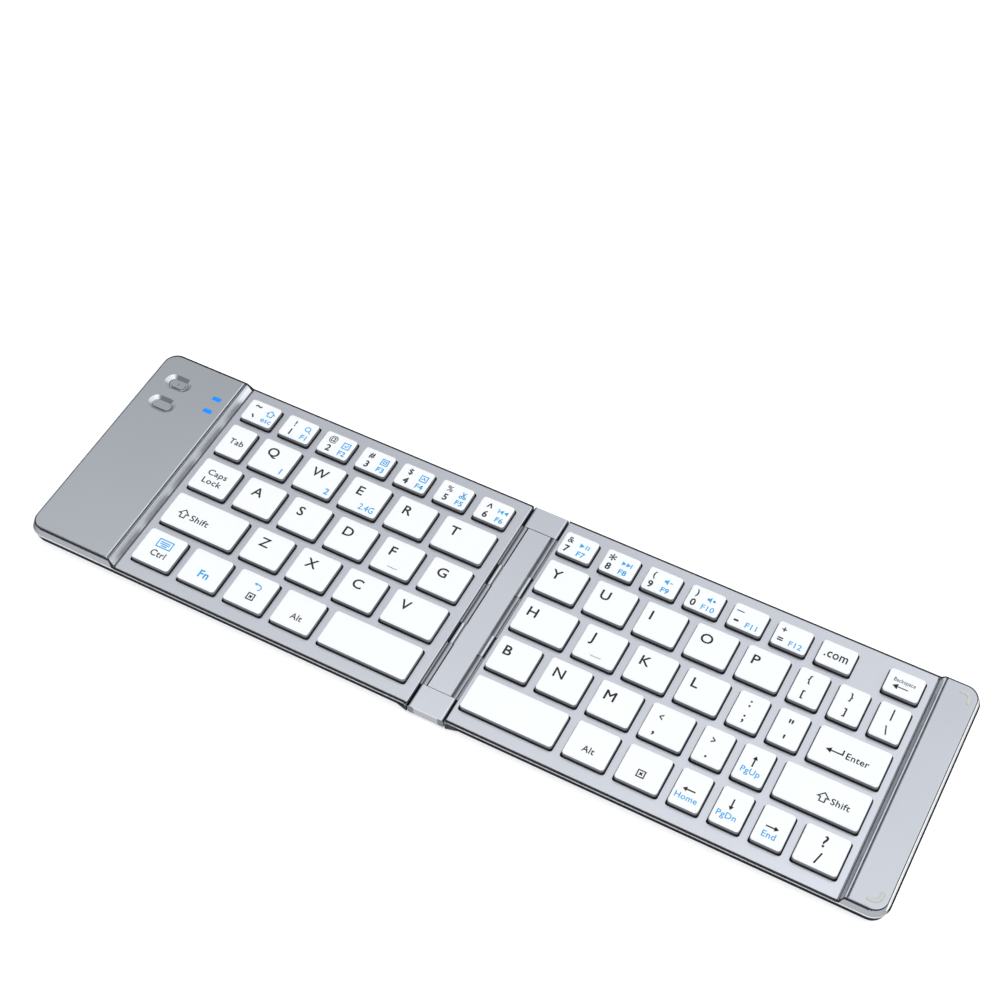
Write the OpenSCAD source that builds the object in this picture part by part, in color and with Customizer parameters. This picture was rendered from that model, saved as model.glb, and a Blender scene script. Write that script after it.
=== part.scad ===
// Folding keyboard in two unequal key halves, joined by a slim double-hinged spine.
// Millimetres. X runs along the keyboard, Y runs to the back, Z is up.
// The origin is under the middle of the spine, on the table. Drawn lying open and flat.

/* [Overall] */
// Front-to-back depth of the whole keyboard
body_d = 83.8; // [83:0.1:104]
// Height of the flat key deck above the table
deck_z = 5.4; // [5.2:0.1:7]
// Rise of the two end covers above the key deck
end_rise = 2.5; // [2.3:0.1:4]
// Length of the raised end of the right half
right_end_w = 14.2; // [12:0.1:22]
// Plan radius of the outer corners
corner_r = 5.5; // [4:0.1:7]
// Thickness of the aluminium deck, cover and bottom plates
plate_t = 0.8; // [0.6:0.1:1]
// Height of the feet below the bottom plates
foot_h = 0.6; // [0.4:0.1:1.2]

/* [Keys] */
// Width of one standard key cell
key_pitch = 17; // [16:0.1:21]
// Width of the narrow key cells at the right edge
narrow_pitch = 12.9; // [12:0.1:16]
// Front-to-back spacing of the letter rows
row_pitch = 16; // [15:0.1:16.1]
// Place of the middle letter row, from the body's centre line
home_row_y = 2.2; // [1.8:0.1:3]
// Spacing between the top letter row and the number row
number_row_step = 14.15; // [13.4:0.05:14.3]
// Front-to-back depth of a number key
number_key_d = 9.35; // [7:0.05:9.6]
// Gap between the skirts of neighbouring keys
key_gap = 2.85; // [2.2:0.05:4]
// Height of a key's top above the deck
key_rise = 2; // [1.7:0.1:3]
// Distance that a key travels down
key_travel = 1.5; // [0.8:0.1:1.6]
// Taper of a key cap on each side
key_taper = 0.3; // [0.2:0.05:0.5]
// Corner radius of a key's skirt
key_corner_r = 1.3; // [0.8:0.1:2]
// Gap between a key and the edge of its deck opening
key_clear = 0.2; // [0.1:0.05:0.3]
// Space between the key block and the inner edge of the left half
left_inner_margin = 2.4; // [0.2:0.1:5]
// Space between the key block and the inner edge of the right half
right_inner_margin = 0.2; // [0.2:0.1:5]
// Space between the key block and the raised left end
left_outer_margin = 1.4; // [1:0.1:4]
// Space between the key block and the raised right end
right_outer_margin = 1.1; // [1:0.1:4]

/* [Hinges and spine] */
// Distance of each hinge axis from the middle of the spine
hinge_x = 5.15; // [5:0.05:7]
// Radius of a hinge knuckle
knuckle_r = 1; // [0.9:0.05:1.2]
// Gap that stays between the spine and a turning half
fold_gap = 0.35; // [0.3:0.05:0.6]
// Radius of a hinge pin
pin_r = 0.55; // [0.4:0.05:0.6]
// Radial clearance of a pin in a turning knuckle
pin_clear = 0.07; // [0.04:0.01:0.1]
// Gap between neighbouring knuckles along a pin
knuckle_gap = 0.1; // [0.05:0.05:0.3]
// Length of the spine's solid end blocks
spine_end_l = 8.5; // [6:0.1:12]
// Length of each knuckle that belongs to the spine
spine_knuckle_l = 8.2; // [5:0.1:12]
// Distance of the spine's knuckles from the centre line
spine_knuckle_y = 8.2; // [6:0.1:12]

/* [Buttons, lights and socket] */
// Distance of the two buttons from the outer end of the left half
button_inset_x = 10.7; // [9:0.1:13]
// Place of the power button behind the centre line
power_y = 30.2; // [28:0.1:31]
// Place of the connect button behind the centre line
connect_y = 20.2; // [17:0.1:21]
// Distance that a button travels down
button_travel = 0.3; // [0.2:0.05:0.5]
// Distance of the status lights from the outer end of the left half
light_inset_x = 26; // [24:0.1:28]
// Spacing of the two status lights
light_step = 5.7; // [4:0.1:8]
// Distance of the charging socket from the outer end of the left half
port_inset_x = 17.7; // [16:0.1:24]
// Width of the charging socket's shell
port_w = 8.94; // [8.8:0.02:9.1]
// Height of the charging socket's shell
port_h = 3.2; // [3:0.05:3.3]

/* [Hidden] */
$fn = 48;

// Levels, from the table upwards
plate_top_z = foot_h + plate_t;
board_z = plate_top_z + 0.2;
board_t = 0.8;
board_top_z = board_z + board_t;
sheet_t = 0.1;
sheet_lap = 0.4;
ledge_z = deck_z - plate_t;
ridge_z = deck_z - 0.4;
end_z = deck_z + end_rise;
cover_z = end_z - plate_t;
key_top_z = deck_z + key_rise;
fit_gap = 0.1;
running_gap = 0.1;
skirt_z = board_top_z + sheet_t + running_gap + key_travel;
flange_z = ledge_z - running_gap;
hinge_z = deck_z - knuckle_r - fold_gap;

// Lengths of the two halves
edge_x = hinge_x + knuckle_r + fold_gap;
half_d = body_d / 2;
number_pitch = 6 * key_pitch / 7;
left_keys_w = 6 * key_pitch;
right_keys_w = 5 * key_pitch + 3 * narrow_pitch;
left_keys_x = edge_x + left_inner_margin;
right_keys_x = edge_x + right_inner_margin;
left_deck_x = left_keys_x + left_keys_w + left_outer_margin;
right_deck_x = right_keys_x + right_keys_w + right_outer_margin;
half_x = right_deck_x + right_end_w;
left_run = 3.3;
right_run = 2.7;

// Frame and plate fits, measured inward from the outermost ridge of the frame
ridge_lean = 0.9;
crest_d = 0.08;
end_crest_d = 0.85;
wall_in = 2.2;
plate_d = 1.1;
deck_lip_d = 0.45;
deck_d = deck_lip_d + fit_gap;
cover_lip_d = 1.15;
cover_d = cover_lip_d + fit_gap;
hinge_wall_t = 0.85;
flare_l = 4;

// Depth of the open seams round the deck plates and the covers, and bevels of the plates' edges
seam_h = 0.2;
end_seam_h = 0.3;
edge_bevel = 0.3;
plate_bevel = 0.25;
plate_inset = 0.2;

// Slope of a raised end at a run of left_run: its foot, its head, the groove above it, its inner face
slope_foot = 0.7;
slope_head = 2;
groove_in = 2.6;
groove_out = 2.9;
groove_h = 0.5;
slope_inner_foot = 1.3;
slope_inner_head = 3.1;

// Screws that hold each board up against the frame
screw_d = 3;
boss_r = 1.3;
screw_r = 0.6;
boss_bore_r = screw_r + 0.02;
boss_roof = 0.5;
screw_head_r = 1.2;
screw_head_h = 0.4;
screw_tip_gap = 0.2;
screw_clear = 0.1;
screw_in = 5.5;
screw_out = 4;

// Boards: inset from the frame's inner faces and from the deck's outer end
board_gap = 0.2;
board_end_in = 0.5;
board_side_in = wall_in + 0.1;

// Feet
foot_l = 5.8;
foot_w = 2.6;
foot_sink = 0.3;
foot_in_x = 6.7;
foot_out_x = 7.5;
foot_y = half_d - 6.3;

// Key switches under the caps
cap_wall = 0.8;
cap_flange_w = 0.35;
cap_flange_r = 1;
opening_corner_r = 0.9;
plunger_r = 1.6;
plunger_z = skirt_z + 0.8;
dome_r = 2.2;
dome_top_r = 1.2;
dome_z = plunger_z - key_travel - running_gap;

// Buttons: a shallow dish, a loose cap with a flange below, and a switch on the board
button_x = half_x - button_inset_x;
dish_l = 7.2;
dish_w = 3.6;
dish_depth = 1;
dish_flare = 1.3;
button_clear = 0.15;
power_l = 5.2;
button_w = 3.1;
connect_l = dish_l - 0.4;
button_proud = 0.35;
button_flange_w = 0.6;
button_flange_t = 0.4;
button_stem_r = 0.9;
boss_drop = 0.8;
boss_rim = 0.6;
switch_l = 4;
switch_w = 3;
switch_h = 1.8;
dish_z = end_z - dish_depth;
boss_z = cover_z - boss_drop;

// Status lights
light_x = half_x - light_inset_x;
light_w = 3;
light_d = 1.6;
light_sink = 0.05;
chip_d = 2;
chip_h = 0.6;

// Charging socket
port_x = half_x - port_inset_x;
port_z = board_top_z + port_h / 2;
port_clear = 0.15;
port_shell_t = 0.3;
port_depth = 7.4;
port_face_d = 0.5;
port_back_t = 0.6;
tongue_w = 6.7;
tongue_t = 0.7;
tongue_in = 0.8;

// Battery and magnets in the ends
battery_in_x = 4.7;
battery_l = 23;
battery_y = -33;
battery_d = 43;
battery_top_z = cover_z - 1.1;
magnet_l = 12;
magnet_t = 1.8;
magnet_h = 3;
magnet_y = 20;

// Bumper pads in the corners of the right cover
bumper_r = 2;
bumper_t = 1.2;
bumper_leg = 1.1;
bumper_sink = 0.4;
bumper_proud = 0.1;
bumper_clear = 0.05;
bumper_in_x = 5.5;
bumper_in_y = 5.9;

// Spine
spine_z = foot_h + 0.9;
spine_wall = 0.8;
spine_bevel = 0.3;
barrel_gap = 0.15;
neck_h = 0.85 * knuckle_r;
channel_x = hinge_x - knuckle_r - barrel_gap;
channel_top_z = hinge_z + 0.2;
panel_t = 0.75;
panel_gap = 0.08;
spine_end_y = half_d - spine_end_l;
block_gap = 0.2;
pin_fit = 0.01;
pin_end = 1.5;
flex_w = 10;
flex_t = 0.15;
flex_slot_h = 0.8;

// Rows of keys from the back to the front: a letter marks its own key,
// # a number key, - a command key and _ a half of the space bar
left_marks = ["#######", "-qwert", "-asdfg", "-zxcv", "----_"];
right_marks = ["########", "yuiop---", "hjkl---", "bnm----", "_------"];
p = key_pitch;
n = narrow_pitch;
left_widths = [
    [for (i = [0:6]) number_pitch],
    [0.75 * p, p, p, p, p, 1.25 * p],
    [p, p, p, p, p, p],
    [1.75 * p, p, p, p, 1.25 * p],
    [p, p, p, p, 2 * p]
];
right_widths = [
    [for (i = [0:7]) number_pitch],
    [p, p, p, p, p, n, n, n],
    [1.25 * p, p, p, p, n, n, right_keys_w - 4.25 * p - 2 * n],
    [p, p, p, p, n, n, right_keys_w - 4 * p - 2 * n],
    [2 * p, p, p, n, n, n, right_keys_w - 4 * p - 3 * n]
];
letters = "abcdefghijklmnopqrstuvwxyz";

// Plain shapes ---------------------------------------------------------------

// Rectangle with round corners, about the origin
module round_rect(w, d, r) {
    square([w, d - 2 * r], center = true);
    square([w - 2 * r, d], center = true);
    for (x = [r - w / 2, w / 2 - r], y = [r - d / 2, d / 2 - r])
        translate([x, y])
            circle(r);
}

// Round-cornered block whose four sides and corners lean in by `lean` over its height
module leaning_block(w, d, h, r, lean) {
    rotate([90, 0, 0])
        linear_extrude(d - 2 * r, center = true)
            polygon([[-w / 2, 0], [w / 2, 0], [w / 2 - lean, h], [lean - w / 2, h]]);
    rotate([90, 0, 90])
        linear_extrude(w - 2 * r, center = true)
            polygon([[-d / 2, 0], [d / 2, 0], [d / 2 - lean, h], [lean - d / 2, h]]);
    for (x = [r - w / 2, w / 2 - r], y = [r - d / 2, d / 2 - r])
        translate([x, y, 0])
            cylinder(h = h, r1 = r, r2 = r - lean);
}

// Slab with round corners and a bevel round its top edge
module bevelled_slab(w, d, h, r, bevel) {
    linear_extrude(h - bevel)
        round_rect(w, d, r);
    translate([0, 0, h - bevel])
        leaning_block(w, d, bevel, r, bevel);
}

// Stadium outline, long axis along X
module pill(l, w) {
    square([l - w, w], center = true);
    for (s = [-1, 1])
        translate([s * (l - w) / 2, 0])
            circle(w / 2);
}

// Stadium whose walls flare outward by `flare` over its height
module flared_pill(l, w, h, flare) {
    rotate([90, 0, 90])
        linear_extrude(l - w, center = true)
            polygon([[-w / 2, 0], [w / 2, 0], [w / 2 + flare, h], [-w / 2 - flare, h]]);
    for (s = [-1, 1])
        translate([s * (l - w) / 2, 0, 0])
            cylinder(h = h, r1 = w / 2, r2 = w / 2 + flare);
}

// Extrudes an outline drawn in X and Z over the depth y0 to y1
module along_y(y0, y1) {
    translate([0, y1, 0])
        rotate([90, 0, 0])
            linear_extrude(y1 - y0)
                children();
}

// Repeats its children in front of and behind the centre line
module both_sides() {
    children();
    mirror([0, 1, 0])
        children();
}

module left_side() {
    mirror([1, 0, 0])
        children();
}

// Places that several pieces share -------------------------------------------

function screw_xs(deck_x) = [
    edge_x + screw_in,
    (edge_x + screw_in + deck_x - screw_out) / 2,
    deck_x - screw_out
];

module at_screws(deck_x) {
    for (x = screw_xs(deck_x), s = [-1, 1])
        translate([x, s * (half_d - screw_d), 0])
            children();
}

module at_feet() {
    for (x = [edge_x + foot_in_x, half_x - foot_out_x], s = [-1, 1])
        translate([x, s * foot_y, 0])
            children();
}

module at_buttons() {
    for (y = [power_y, connect_y])
        translate([-button_x, y, 0])
            children();
}

module at_lights() {
    for (y = [power_y, power_y - light_step])
        translate([-light_x, y, 0])
            children();
}

// Key layout -----------------------------------------------------------------

function row_y(row) = row == 0
    ? home_row_y + row_pitch + number_row_step
    : home_row_y + (2 - row) * row_pitch;
function row_depth(row) = row == 0 ? number_key_d : row_pitch - key_gap;
function before(widths, i) = i == 0 ? 0 : widths[i - 1] + before(widths, i - 1);

// The last key of the back right row stands apart, flush with the block's right edge
function cell_start(widths, row, i, total) =
    row == 0 && i == 7 ? total - widths[i] : before(widths, i);

// Calls its children once for each key that carries `mark`, or for every key with "*".
// $w and $d are that key's size at its skirt.
module at_keys(marks, widths, start, total, mark) {
    for (row = [0:4], i = [0:len(marks[row]) - 1])
        if (mark == "*" || marks[row][i] == mark) {
            $w = widths[row][i] - key_gap;
            $d = row_depth(row);
            translate([start + cell_start(widths[row], row, i, total) + widths[row][i] / 2, row_y(row), 0])
                children();
        }
}

module at_left_keys(mark) {
    at_keys(left_marks, left_widths, -left_keys_x - left_keys_w, left_keys_w, mark)
        children();
}

module at_right_keys(mark) {
    at_keys(right_marks, right_widths, right_keys_x, right_keys_w, mark)
        children();
}

// Leaning cap, hollow below, with a flange that keeps it under the deck
module key_cap(w, d) {
    color("white") {
        difference() {
            union() {
                translate([0, 0, skirt_z])
                    leaning_block(w, d, key_top_z - skirt_z, key_corner_r, key_taper);
                translate([0, 0, skirt_z])
                    linear_extrude(flange_z - skirt_z)
                        round_rect(w + 2 * cap_flange_w, d + 2 * cap_flange_w, cap_flange_r);
            }
            translate([0, 0, skirt_z - 1])
                linear_extrude(key_top_z - skirt_z)
                    round_rect(w - 2 * cap_wall - key_taper, d - 2 * cap_wall - key_taper, key_corner_r / 2);
        }
        translate([0, 0, plunger_z])
            cylinder(h = key_top_z - plunger_z - cap_wall, r = plunger_r);
    }
}

module keys(mark) {
    at_left_keys(mark)
        key_cap($w, $d);
    at_right_keys(mark)
        key_cap($w, $d);
}

// Parts of one half, drawn for +X --------------------------------------------

// Section of the frame's wall beside the deck: d runs inward from the ridge
module deck_wall_section() {
    polygon([
        [ridge_lean, plate_top_z], [0, ridge_z], [crest_d, deck_z - seam_h], [deck_lip_d, deck_z - seam_h],
        [deck_lip_d, ledge_z], [wall_in, ledge_z], [wall_in, plate_top_z]
    ]);
}

// Section of the taller wall round the raised end
module end_wall_section() {
    polygon([
        [ridge_lean, plate_top_z], [0, ridge_z], [end_crest_d, end_z - end_seam_h],
        [cover_lip_d, end_z - end_seam_h], [cover_lip_d, cover_z], [wall_in, cover_z], [wall_in, plate_top_z]
    ]);
}

// Back wall of a half between two places along X
module straight_wall(x0, x1) {
    translate([x0, half_d, 0])
        rotate([90, 0, 90])
            linear_extrude(x1 - x0)
                mirror([1, 0])
                    children();
}

// Everything above this line is cut off the frame where the raised end slopes to the deck
module slope_cut(deck_x, run) {
    k = run / left_run;
    along_y(-half_d - 1, half_d + 1)
        polygon([
            [deck_x, deck_z - seam_h], [deck_x + slope_foot * k, deck_z - seam_h],
            [deck_x + slope_head * k, end_z - end_seam_h], [deck_x + slope_head * k, end_z + 1],
            [deck_x, end_z + 1]
        ]);
}

module frame_walls(deck_x, run) {
    difference() {
        union() {
            both_sides() {
                straight_wall(edge_x, deck_x + 0.4)
                    deck_wall_section();
                straight_wall(deck_x + 0.2, half_x - corner_r)
                    end_wall_section();
                translate([half_x - corner_r, half_d - corner_r, 0])
                    rotate_extrude(angle = 90)
                        translate([corner_r, 0])
                            mirror([1, 0])
                                end_wall_section();
            }
            translate([half_x, half_d - corner_r, 0])
                rotate([90, 0, 0])
                    linear_extrude(body_d - 2 * corner_r)
                        mirror([1, 0])
                            end_wall_section();
        }
        slope_cut(deck_x, run);
        translate([deck_x, cover_lip_d - half_d, ledge_z])
            cube([run + 1, body_d - 2 * cover_lip_d, end_rise + 1]);
    }
}

// Knuckles that turn on one hinge pin, with the necks that carry them
module half_knuckles() {
    spans = [
        [knuckle_gap - spine_knuckle_y, spine_knuckle_y - knuckle_gap],
        [spine_knuckle_y + spine_knuckle_l + knuckle_gap, spine_end_y - knuckle_gap],
        [knuckle_gap - spine_end_y, -spine_knuckle_y - spine_knuckle_l - knuckle_gap]
    ];
    for (s = spans)
        along_y(s[0], s[1]) {
            translate([hinge_x, hinge_z])
                circle(knuckle_r);
            translate([hinge_x, hinge_z - neck_h])
                square([edge_x - hinge_x + 0.1, ledge_z - hinge_z + neck_h]);
        }
}

module hinge_bore(r, y_end) {
    translate([hinge_x, y_end, hinge_z])
        rotate([90, 0, 0])
            cylinder(h = 2 * y_end, r = r);
}

module half_frame(deck_x, run) {
    difference() {
        union() {
            frame_walls(deck_x, run);
            translate([edge_x, -half_d, plate_top_z])
                cube([hinge_wall_t, body_d, ledge_z - plate_top_z]);
            both_sides()
                translate([0, 0, plate_top_z])
                    linear_extrude(ridge_z - plate_top_z)
                        polygon([
                            [edge_x, half_d], [edge_x + flare_l, half_d - ridge_lean],
                            [edge_x + flare_l, half_d - wall_in], [edge_x, half_d - wall_in]
                        ]);
            translate([deck_x - 0.3, wall_in - half_d - 0.1, ledge_z - 1])
                cube([2, body_d - 2 * wall_in + 0.2, 1]);
            at_screws(deck_x)
                translate([0, 0, board_top_z])
                    cylinder(h = ledge_z - board_top_z, r = boss_r);
            half_knuckles();
        }
        both_sides()
            translate([edge_x - 1, half_d - deck_lip_d, ledge_z])
                mirror([0, 1, 0])
                    cube([flare_l + 2, wall_in, 1]);
        at_screws(deck_x) {
            translate([0, 0, board_top_z - boss_roof])
                cylinder(h = ledge_z - board_top_z, r = boss_bore_r);
            translate([0, 0, board_z - 1])
                cylinder(h = 1 + screw_head_h + screw_clear, r = screw_head_r + screw_clear);
        }
        hinge_bore(pin_r + pin_clear, half_d + 1);
    }
}

// Bottom plate, bevelled below, with recesses for the feet
module half_bottom_plate() {
    x0 = edge_x + plate_inset;
    l = half_x - plate_d - x0;
    w = body_d - 2 * plate_d;
    difference() {
        union() {
            translate([x0 + l / 2, 0, plate_top_z])
                mirror([0, 0, 1])
                    bevelled_slab(l, w, plate_t, corner_r - plate_d, plate_bevel);
            translate([0, 0, foot_h + plate_bevel])
                linear_extrude(plate_t - plate_bevel)
                    polygon([
                        [x0, fit_gap - half_d], [edge_x + flare_l, -w / 2], [edge_x + 2 * flare_l, 0],
                        [edge_x + flare_l, w / 2], [x0, half_d - fit_gap]
                    ]);
        }
        at_feet()
            translate([0, 0, foot_h - 1])
                linear_extrude(1 + foot_sink)
                    pill(foot_l + fit_gap, foot_w + fit_gap);
    }
}

module half_feet() {
    at_feet()
        linear_extrude(foot_h + foot_sink)
            pill(foot_l, foot_w);
}

module half_screws(deck_x) {
    at_screws(deck_x) {
        translate([0, 0, board_z])
            cylinder(h = screw_head_h, r = screw_head_r);
        translate([0, 0, board_z])
            cylinder(h = ledge_z - boss_roof - screw_tip_gap - board_z, r = screw_r);
    }
}

// Board with counterbored screw holes from below
module half_board(deck_x) {
    x0 = edge_x + hinge_wall_t + board_gap;
    difference() {
        translate([x0, board_side_in - half_d, board_z])
            cube([deck_x - board_end_in - x0, body_d - 2 * board_side_in, board_t]);
        at_screws(deck_x) {
            translate([0, 0, board_z - 1])
                cylinder(h = 1 + screw_head_h, r = screw_head_r + screw_clear);
            translate([0, 0, board_z])
                cylinder(h = 2 * board_t, r = screw_r + screw_clear / 2);
        }
    }
}

module half_magnets() {
    for (s = [-1, 1])
        translate([half_x - wall_in - magnet_t, s * magnet_y - magnet_l / 2, cover_z - magnet_h])
            cube([magnet_t, magnet_l, magnet_h]);
}

// Deck plate blank with its top edges beveled
module deck_blank(deck_x) {
    l = deck_x - edge_x - fit_gap;
    translate([edge_x + fit_gap + l / 2, 0, ledge_z])
        bevelled_slab(l, body_d - 2 * deck_d, plate_t, 0.6, edge_bevel);
}

module key_opening() {
    translate([0, 0, ledge_z - 1])
        linear_extrude(plate_t + 2)
            round_rect($w + 2 * key_clear, $d + 2 * key_clear, opening_corner_r);
}

// Domed sheet between the board and the caps, at the height the domes have when pressed
module dome() {
    translate([0, 0, board_top_z])
        cylinder(h = dome_z - board_top_z, r1 = dome_r, r2 = dome_top_r);
}

module half_sheet(keys_x, keys_w) {
    x0 = max(keys_x - sheet_lap, edge_x + hinge_wall_t + board_gap);
    y0 = screw_d + boss_r + board_gap - half_d;
    translate([x0, y0, board_top_z])
        cube([keys_x + keys_w + sheet_lap - x0, -2 * y0, sheet_t]);
}

// Cover of a raised end: a bevelled plate that steps down in a groove and a slope to the deck
module cover_section(deck_x, run) {
    k = run / left_run;
    polygon([
        [half_x, end_z], [deck_x + run, end_z], [deck_x + groove_out * k, end_z - groove_h + 0.1],
        [deck_x + groove_in * k, end_z - groove_h], [deck_x + slope_head * k, end_z - groove_h + 0.15],
        [deck_x + slope_foot * k, deck_z + 0.1], [deck_x + slope_foot * k - 0.3, deck_z - edge_bevel],
        [deck_x + fit_gap, deck_z - edge_bevel], [deck_x + fit_gap, ledge_z],
        [deck_x + slope_inner_foot * k, ledge_z], [deck_x + groove_in * k, cover_z - edge_bevel],
        [deck_x + slope_inner_head * k, cover_z], [half_x, cover_z]
    ]);
}

module half_cover(deck_x, run) {
    l = half_x - cover_d - deck_x + 20;
    w = body_d - 2 * cover_d;
    r = corner_r - cover_d;
    intersection() {
        along_y(-half_d, half_d)
            cover_section(deck_x, run);
        translate([half_x - cover_d - l / 2, 0, ledge_z - 1])
            bevelled_slab(l, w, end_z - ledge_z + 1, r, edge_bevel);
    }
}

// Right half -----------------------------------------------------------------

module right_bottom_plate() {
    color("silver")
        half_bottom_plate();
}

module right_frame() {
    color("gray")
        half_frame(right_deck_x, right_run);
}

module right_deck_plate() {
    color("gainsboro")
        difference() {
            deck_blank(right_deck_x);
            at_right_keys("*")
                key_opening();
        }
}

module bumper_outline(t) {
    intersection() {
        difference() {
            circle(bumper_r + t / 2);
            circle(bumper_r - t / 2);
        }
        square(2 * bumper_r);
    }
    translate([-bumper_leg, bumper_r - t / 2])
        square([bumper_leg, t]);
    translate([bumper_r - t / 2, -bumper_leg])
        square([t, bumper_leg]);
    translate([-bumper_leg, bumper_r])
        circle(t / 2);
    translate([bumper_r, -bumper_leg])
        circle(t / 2);
}

module at_bumpers() {
    both_sides()
        translate([half_x - bumper_in_x, half_d - bumper_in_y, end_z - bumper_sink])
            children();
}

module right_end_cover() {
    color("silver")
        difference() {
            half_cover(right_deck_x, right_run);
            at_bumpers()
                linear_extrude(2)
                    bumper_outline(bumper_t + 2 * bumper_clear);
        }
}

module right_end_bumpers() {
    color("ivory")
        at_bumpers()
            linear_extrude(bumper_sink + bumper_proud)
                bumper_outline(bumper_t);
}

module right_board() {
    color("darkgreen")
        half_board(right_deck_x);
}

module right_key_domes() {
    color("lightgray") {
        half_sheet(right_keys_x, right_keys_w);
        at_right_keys("*")
            dome();
    }
}

module right_feet() {
    color("dimgray")
        half_feet();
}

module right_screws() {
    color("gray")
        half_screws(right_deck_x);
}

module right_magnets() {
    color("silver")
        half_magnets();
}

// Left half ------------------------------------------------------------------

module left_bottom_plate() {
    color("silver")
        left_side()
            half_bottom_plate();
}

module port_pill(l, w) {
    rotate([90, 0, 0])
        linear_extrude(port_depth, center = true)
            pill(l, w);
}

module left_frame() {
    color("gray")
        difference() {
            left_side()
                half_frame(left_deck_x, left_run);
            translate([-port_x, half_d, port_z])
                port_pill(port_w + 2 * port_clear, port_h + 2 * port_clear);
        }
}

module left_deck_plate() {
    color("gainsboro")
        difference() {
            left_side()
                deck_blank(left_deck_x);
            at_left_keys("*")
                key_opening();
        }
}

// Cover with two dished button wells and two windows for the lights
module left_end_cover() {
    color("silver")
        difference() {
            union() {
                left_side()
                    half_cover(left_deck_x, left_run);
                at_buttons()
                    translate([0, 0, boss_z])
                        linear_extrude(cover_z - boss_z + 0.1)
                            pill(dish_l + 2 * (dish_flare + boss_rim), dish_w + 2 * (dish_flare + boss_rim));
            }
            at_buttons()
                translate([0, 0, dish_z])
                    flared_pill(dish_l, dish_w, dish_depth + 0.1, dish_flare * (1 + 0.1 / dish_depth));
            translate([-button_x, power_y, boss_z - 1])
                linear_extrude(3)
                    pill(power_l + 2 * button_clear, button_w + 2 * button_clear);
            translate([-button_x, connect_y, boss_z - 1])
                linear_extrude(3)
                    pill(connect_l + 2 * button_clear, button_w + 2 * button_clear);
            at_lights()
                translate([0, 0, cover_z - 1])
                    linear_extrude(plate_t + 2)
                        square([light_w + fit_gap, light_d + fit_gap], center = true);
        }
}

// Board of the left half, with an ear that reaches under the buttons and the socket
module left_board() {
    ear_x = half_x - corner_r + 1;
    ear_y = connect_y - switch_l - 3.2;
    ear_end_y = half_d - board_side_in - board_gap;
    color("darkgreen") {
        left_side()
            half_board(left_deck_x);
        translate([-ear_x, ear_y, board_z])
            cube([ear_x - left_deck_x + 2 * board_end_in, ear_end_y - ear_y, board_t]);
        at_buttons()
            translate([-switch_l / 2, -switch_w / 2, board_top_z])
                cube([switch_l, switch_w, switch_h]);
        at_lights()
            translate([-light_w / 2, -chip_d / 2, board_top_z])
                cube([light_w, chip_d, chip_h]);
    }
}

module left_key_domes() {
    color("lightgray") {
        left_side()
            half_sheet(left_keys_x, left_keys_w);
        at_left_keys("*")
            dome();
    }
}

module left_feet() {
    color("dimgray")
        left_side()
            half_feet();
}

module left_screws() {
    color("gray")
        left_side()
            half_screws(left_deck_x);
}

module left_magnets() {
    color("silver")
        left_side()
            half_magnets();
}

module battery() {
    color("dimgray")
        translate([battery_in_x - half_x, battery_y, plate_top_z])
            cube([battery_l, battery_d, battery_top_z - plate_top_z]);
}

// Charging socket: an open oval shell with a tongue, on the board's back edge
module charge_port() {
    face_y = half_d - port_face_d;
    color("silver")
        translate([-port_x, face_y - port_depth / 2, port_z]) {
            difference() {
                port_pill(port_w, port_h);
                translate([0, port_back_t, 0])
                    port_pill(port_w - 2 * port_shell_t, port_h - 2 * port_shell_t);
            }
            translate([0, -(tongue_in - port_back_t / 2) / 2, 0])
                cube([tongue_w, port_depth - tongue_in - port_back_t / 2, tongue_t], center = true);
        }
}

module status_lights() {
    color("dodgerblue")
        at_lights()
            translate([-light_w / 2, -light_d / 2, board_top_z + chip_h])
                cube([light_w, light_d, end_z - light_sink - board_top_z - chip_h]);
}

// Loose button cap that its flange keeps under the cover
module button(l) {
    flange_top = boss_z - running_gap;
    stem_z = board_top_z + switch_h + button_travel + running_gap;
    translate([0, 0, flange_top - button_flange_t]) {
        linear_extrude(dish_z + button_proud - flange_top + button_flange_t)
            pill(l, button_w);
        linear_extrude(button_flange_t)
            pill(l + 2 * button_flange_w, button_w + 2 * button_flange_w);
    }
    translate([0, 0, stem_z])
        cylinder(h = flange_top - stem_z, r = button_stem_r);
}

module power_button() {
    color("gainsboro")
        translate([-button_x, power_y, 0])
            button(power_l);
}

module connect_button() {
    color("gainsboro")
        translate([-button_x, connect_y, 0])
            button(connect_l);
}

// Spine ----------------------------------------------------------------------

// Section of an end block: its top corners are round about the two hinge axes
module block_section() {
    r = knuckle_r;
    for (s = [-1, 1])
        translate([s * hinge_x, hinge_z])
            circle(r);
    polygon([
        [-hinge_x - r, hinge_z], [-hinge_x - r, spine_z + spine_bevel], [-hinge_x - r + spine_bevel, spine_z],
        [hinge_x + r - spine_bevel, spine_z], [hinge_x + r, spine_z + spine_bevel], [hinge_x + r, hinge_z]
    ]);
    translate([-hinge_x, hinge_z - r])
        square([2 * hinge_x, 2 * r]);
}

module spine_channel() {
    difference() {
        along_y(-spine_end_y - 0.1, spine_end_y + 0.1)
            translate([-channel_x, spine_z])
                square([2 * channel_x, channel_top_z - spine_z]);
        translate([spine_wall - channel_x, -spine_end_y, spine_z + spine_wall])
            cube([2 * (channel_x - spine_wall), 2 * spine_end_y, 10]);
        translate([-channel_x - 1, -flex_w / 2 - fold_gap, spine_z + spine_wall])
            cube([2 * channel_x + 2, flex_w + 2 * fold_gap, flex_slot_h]);
    }
}

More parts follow.
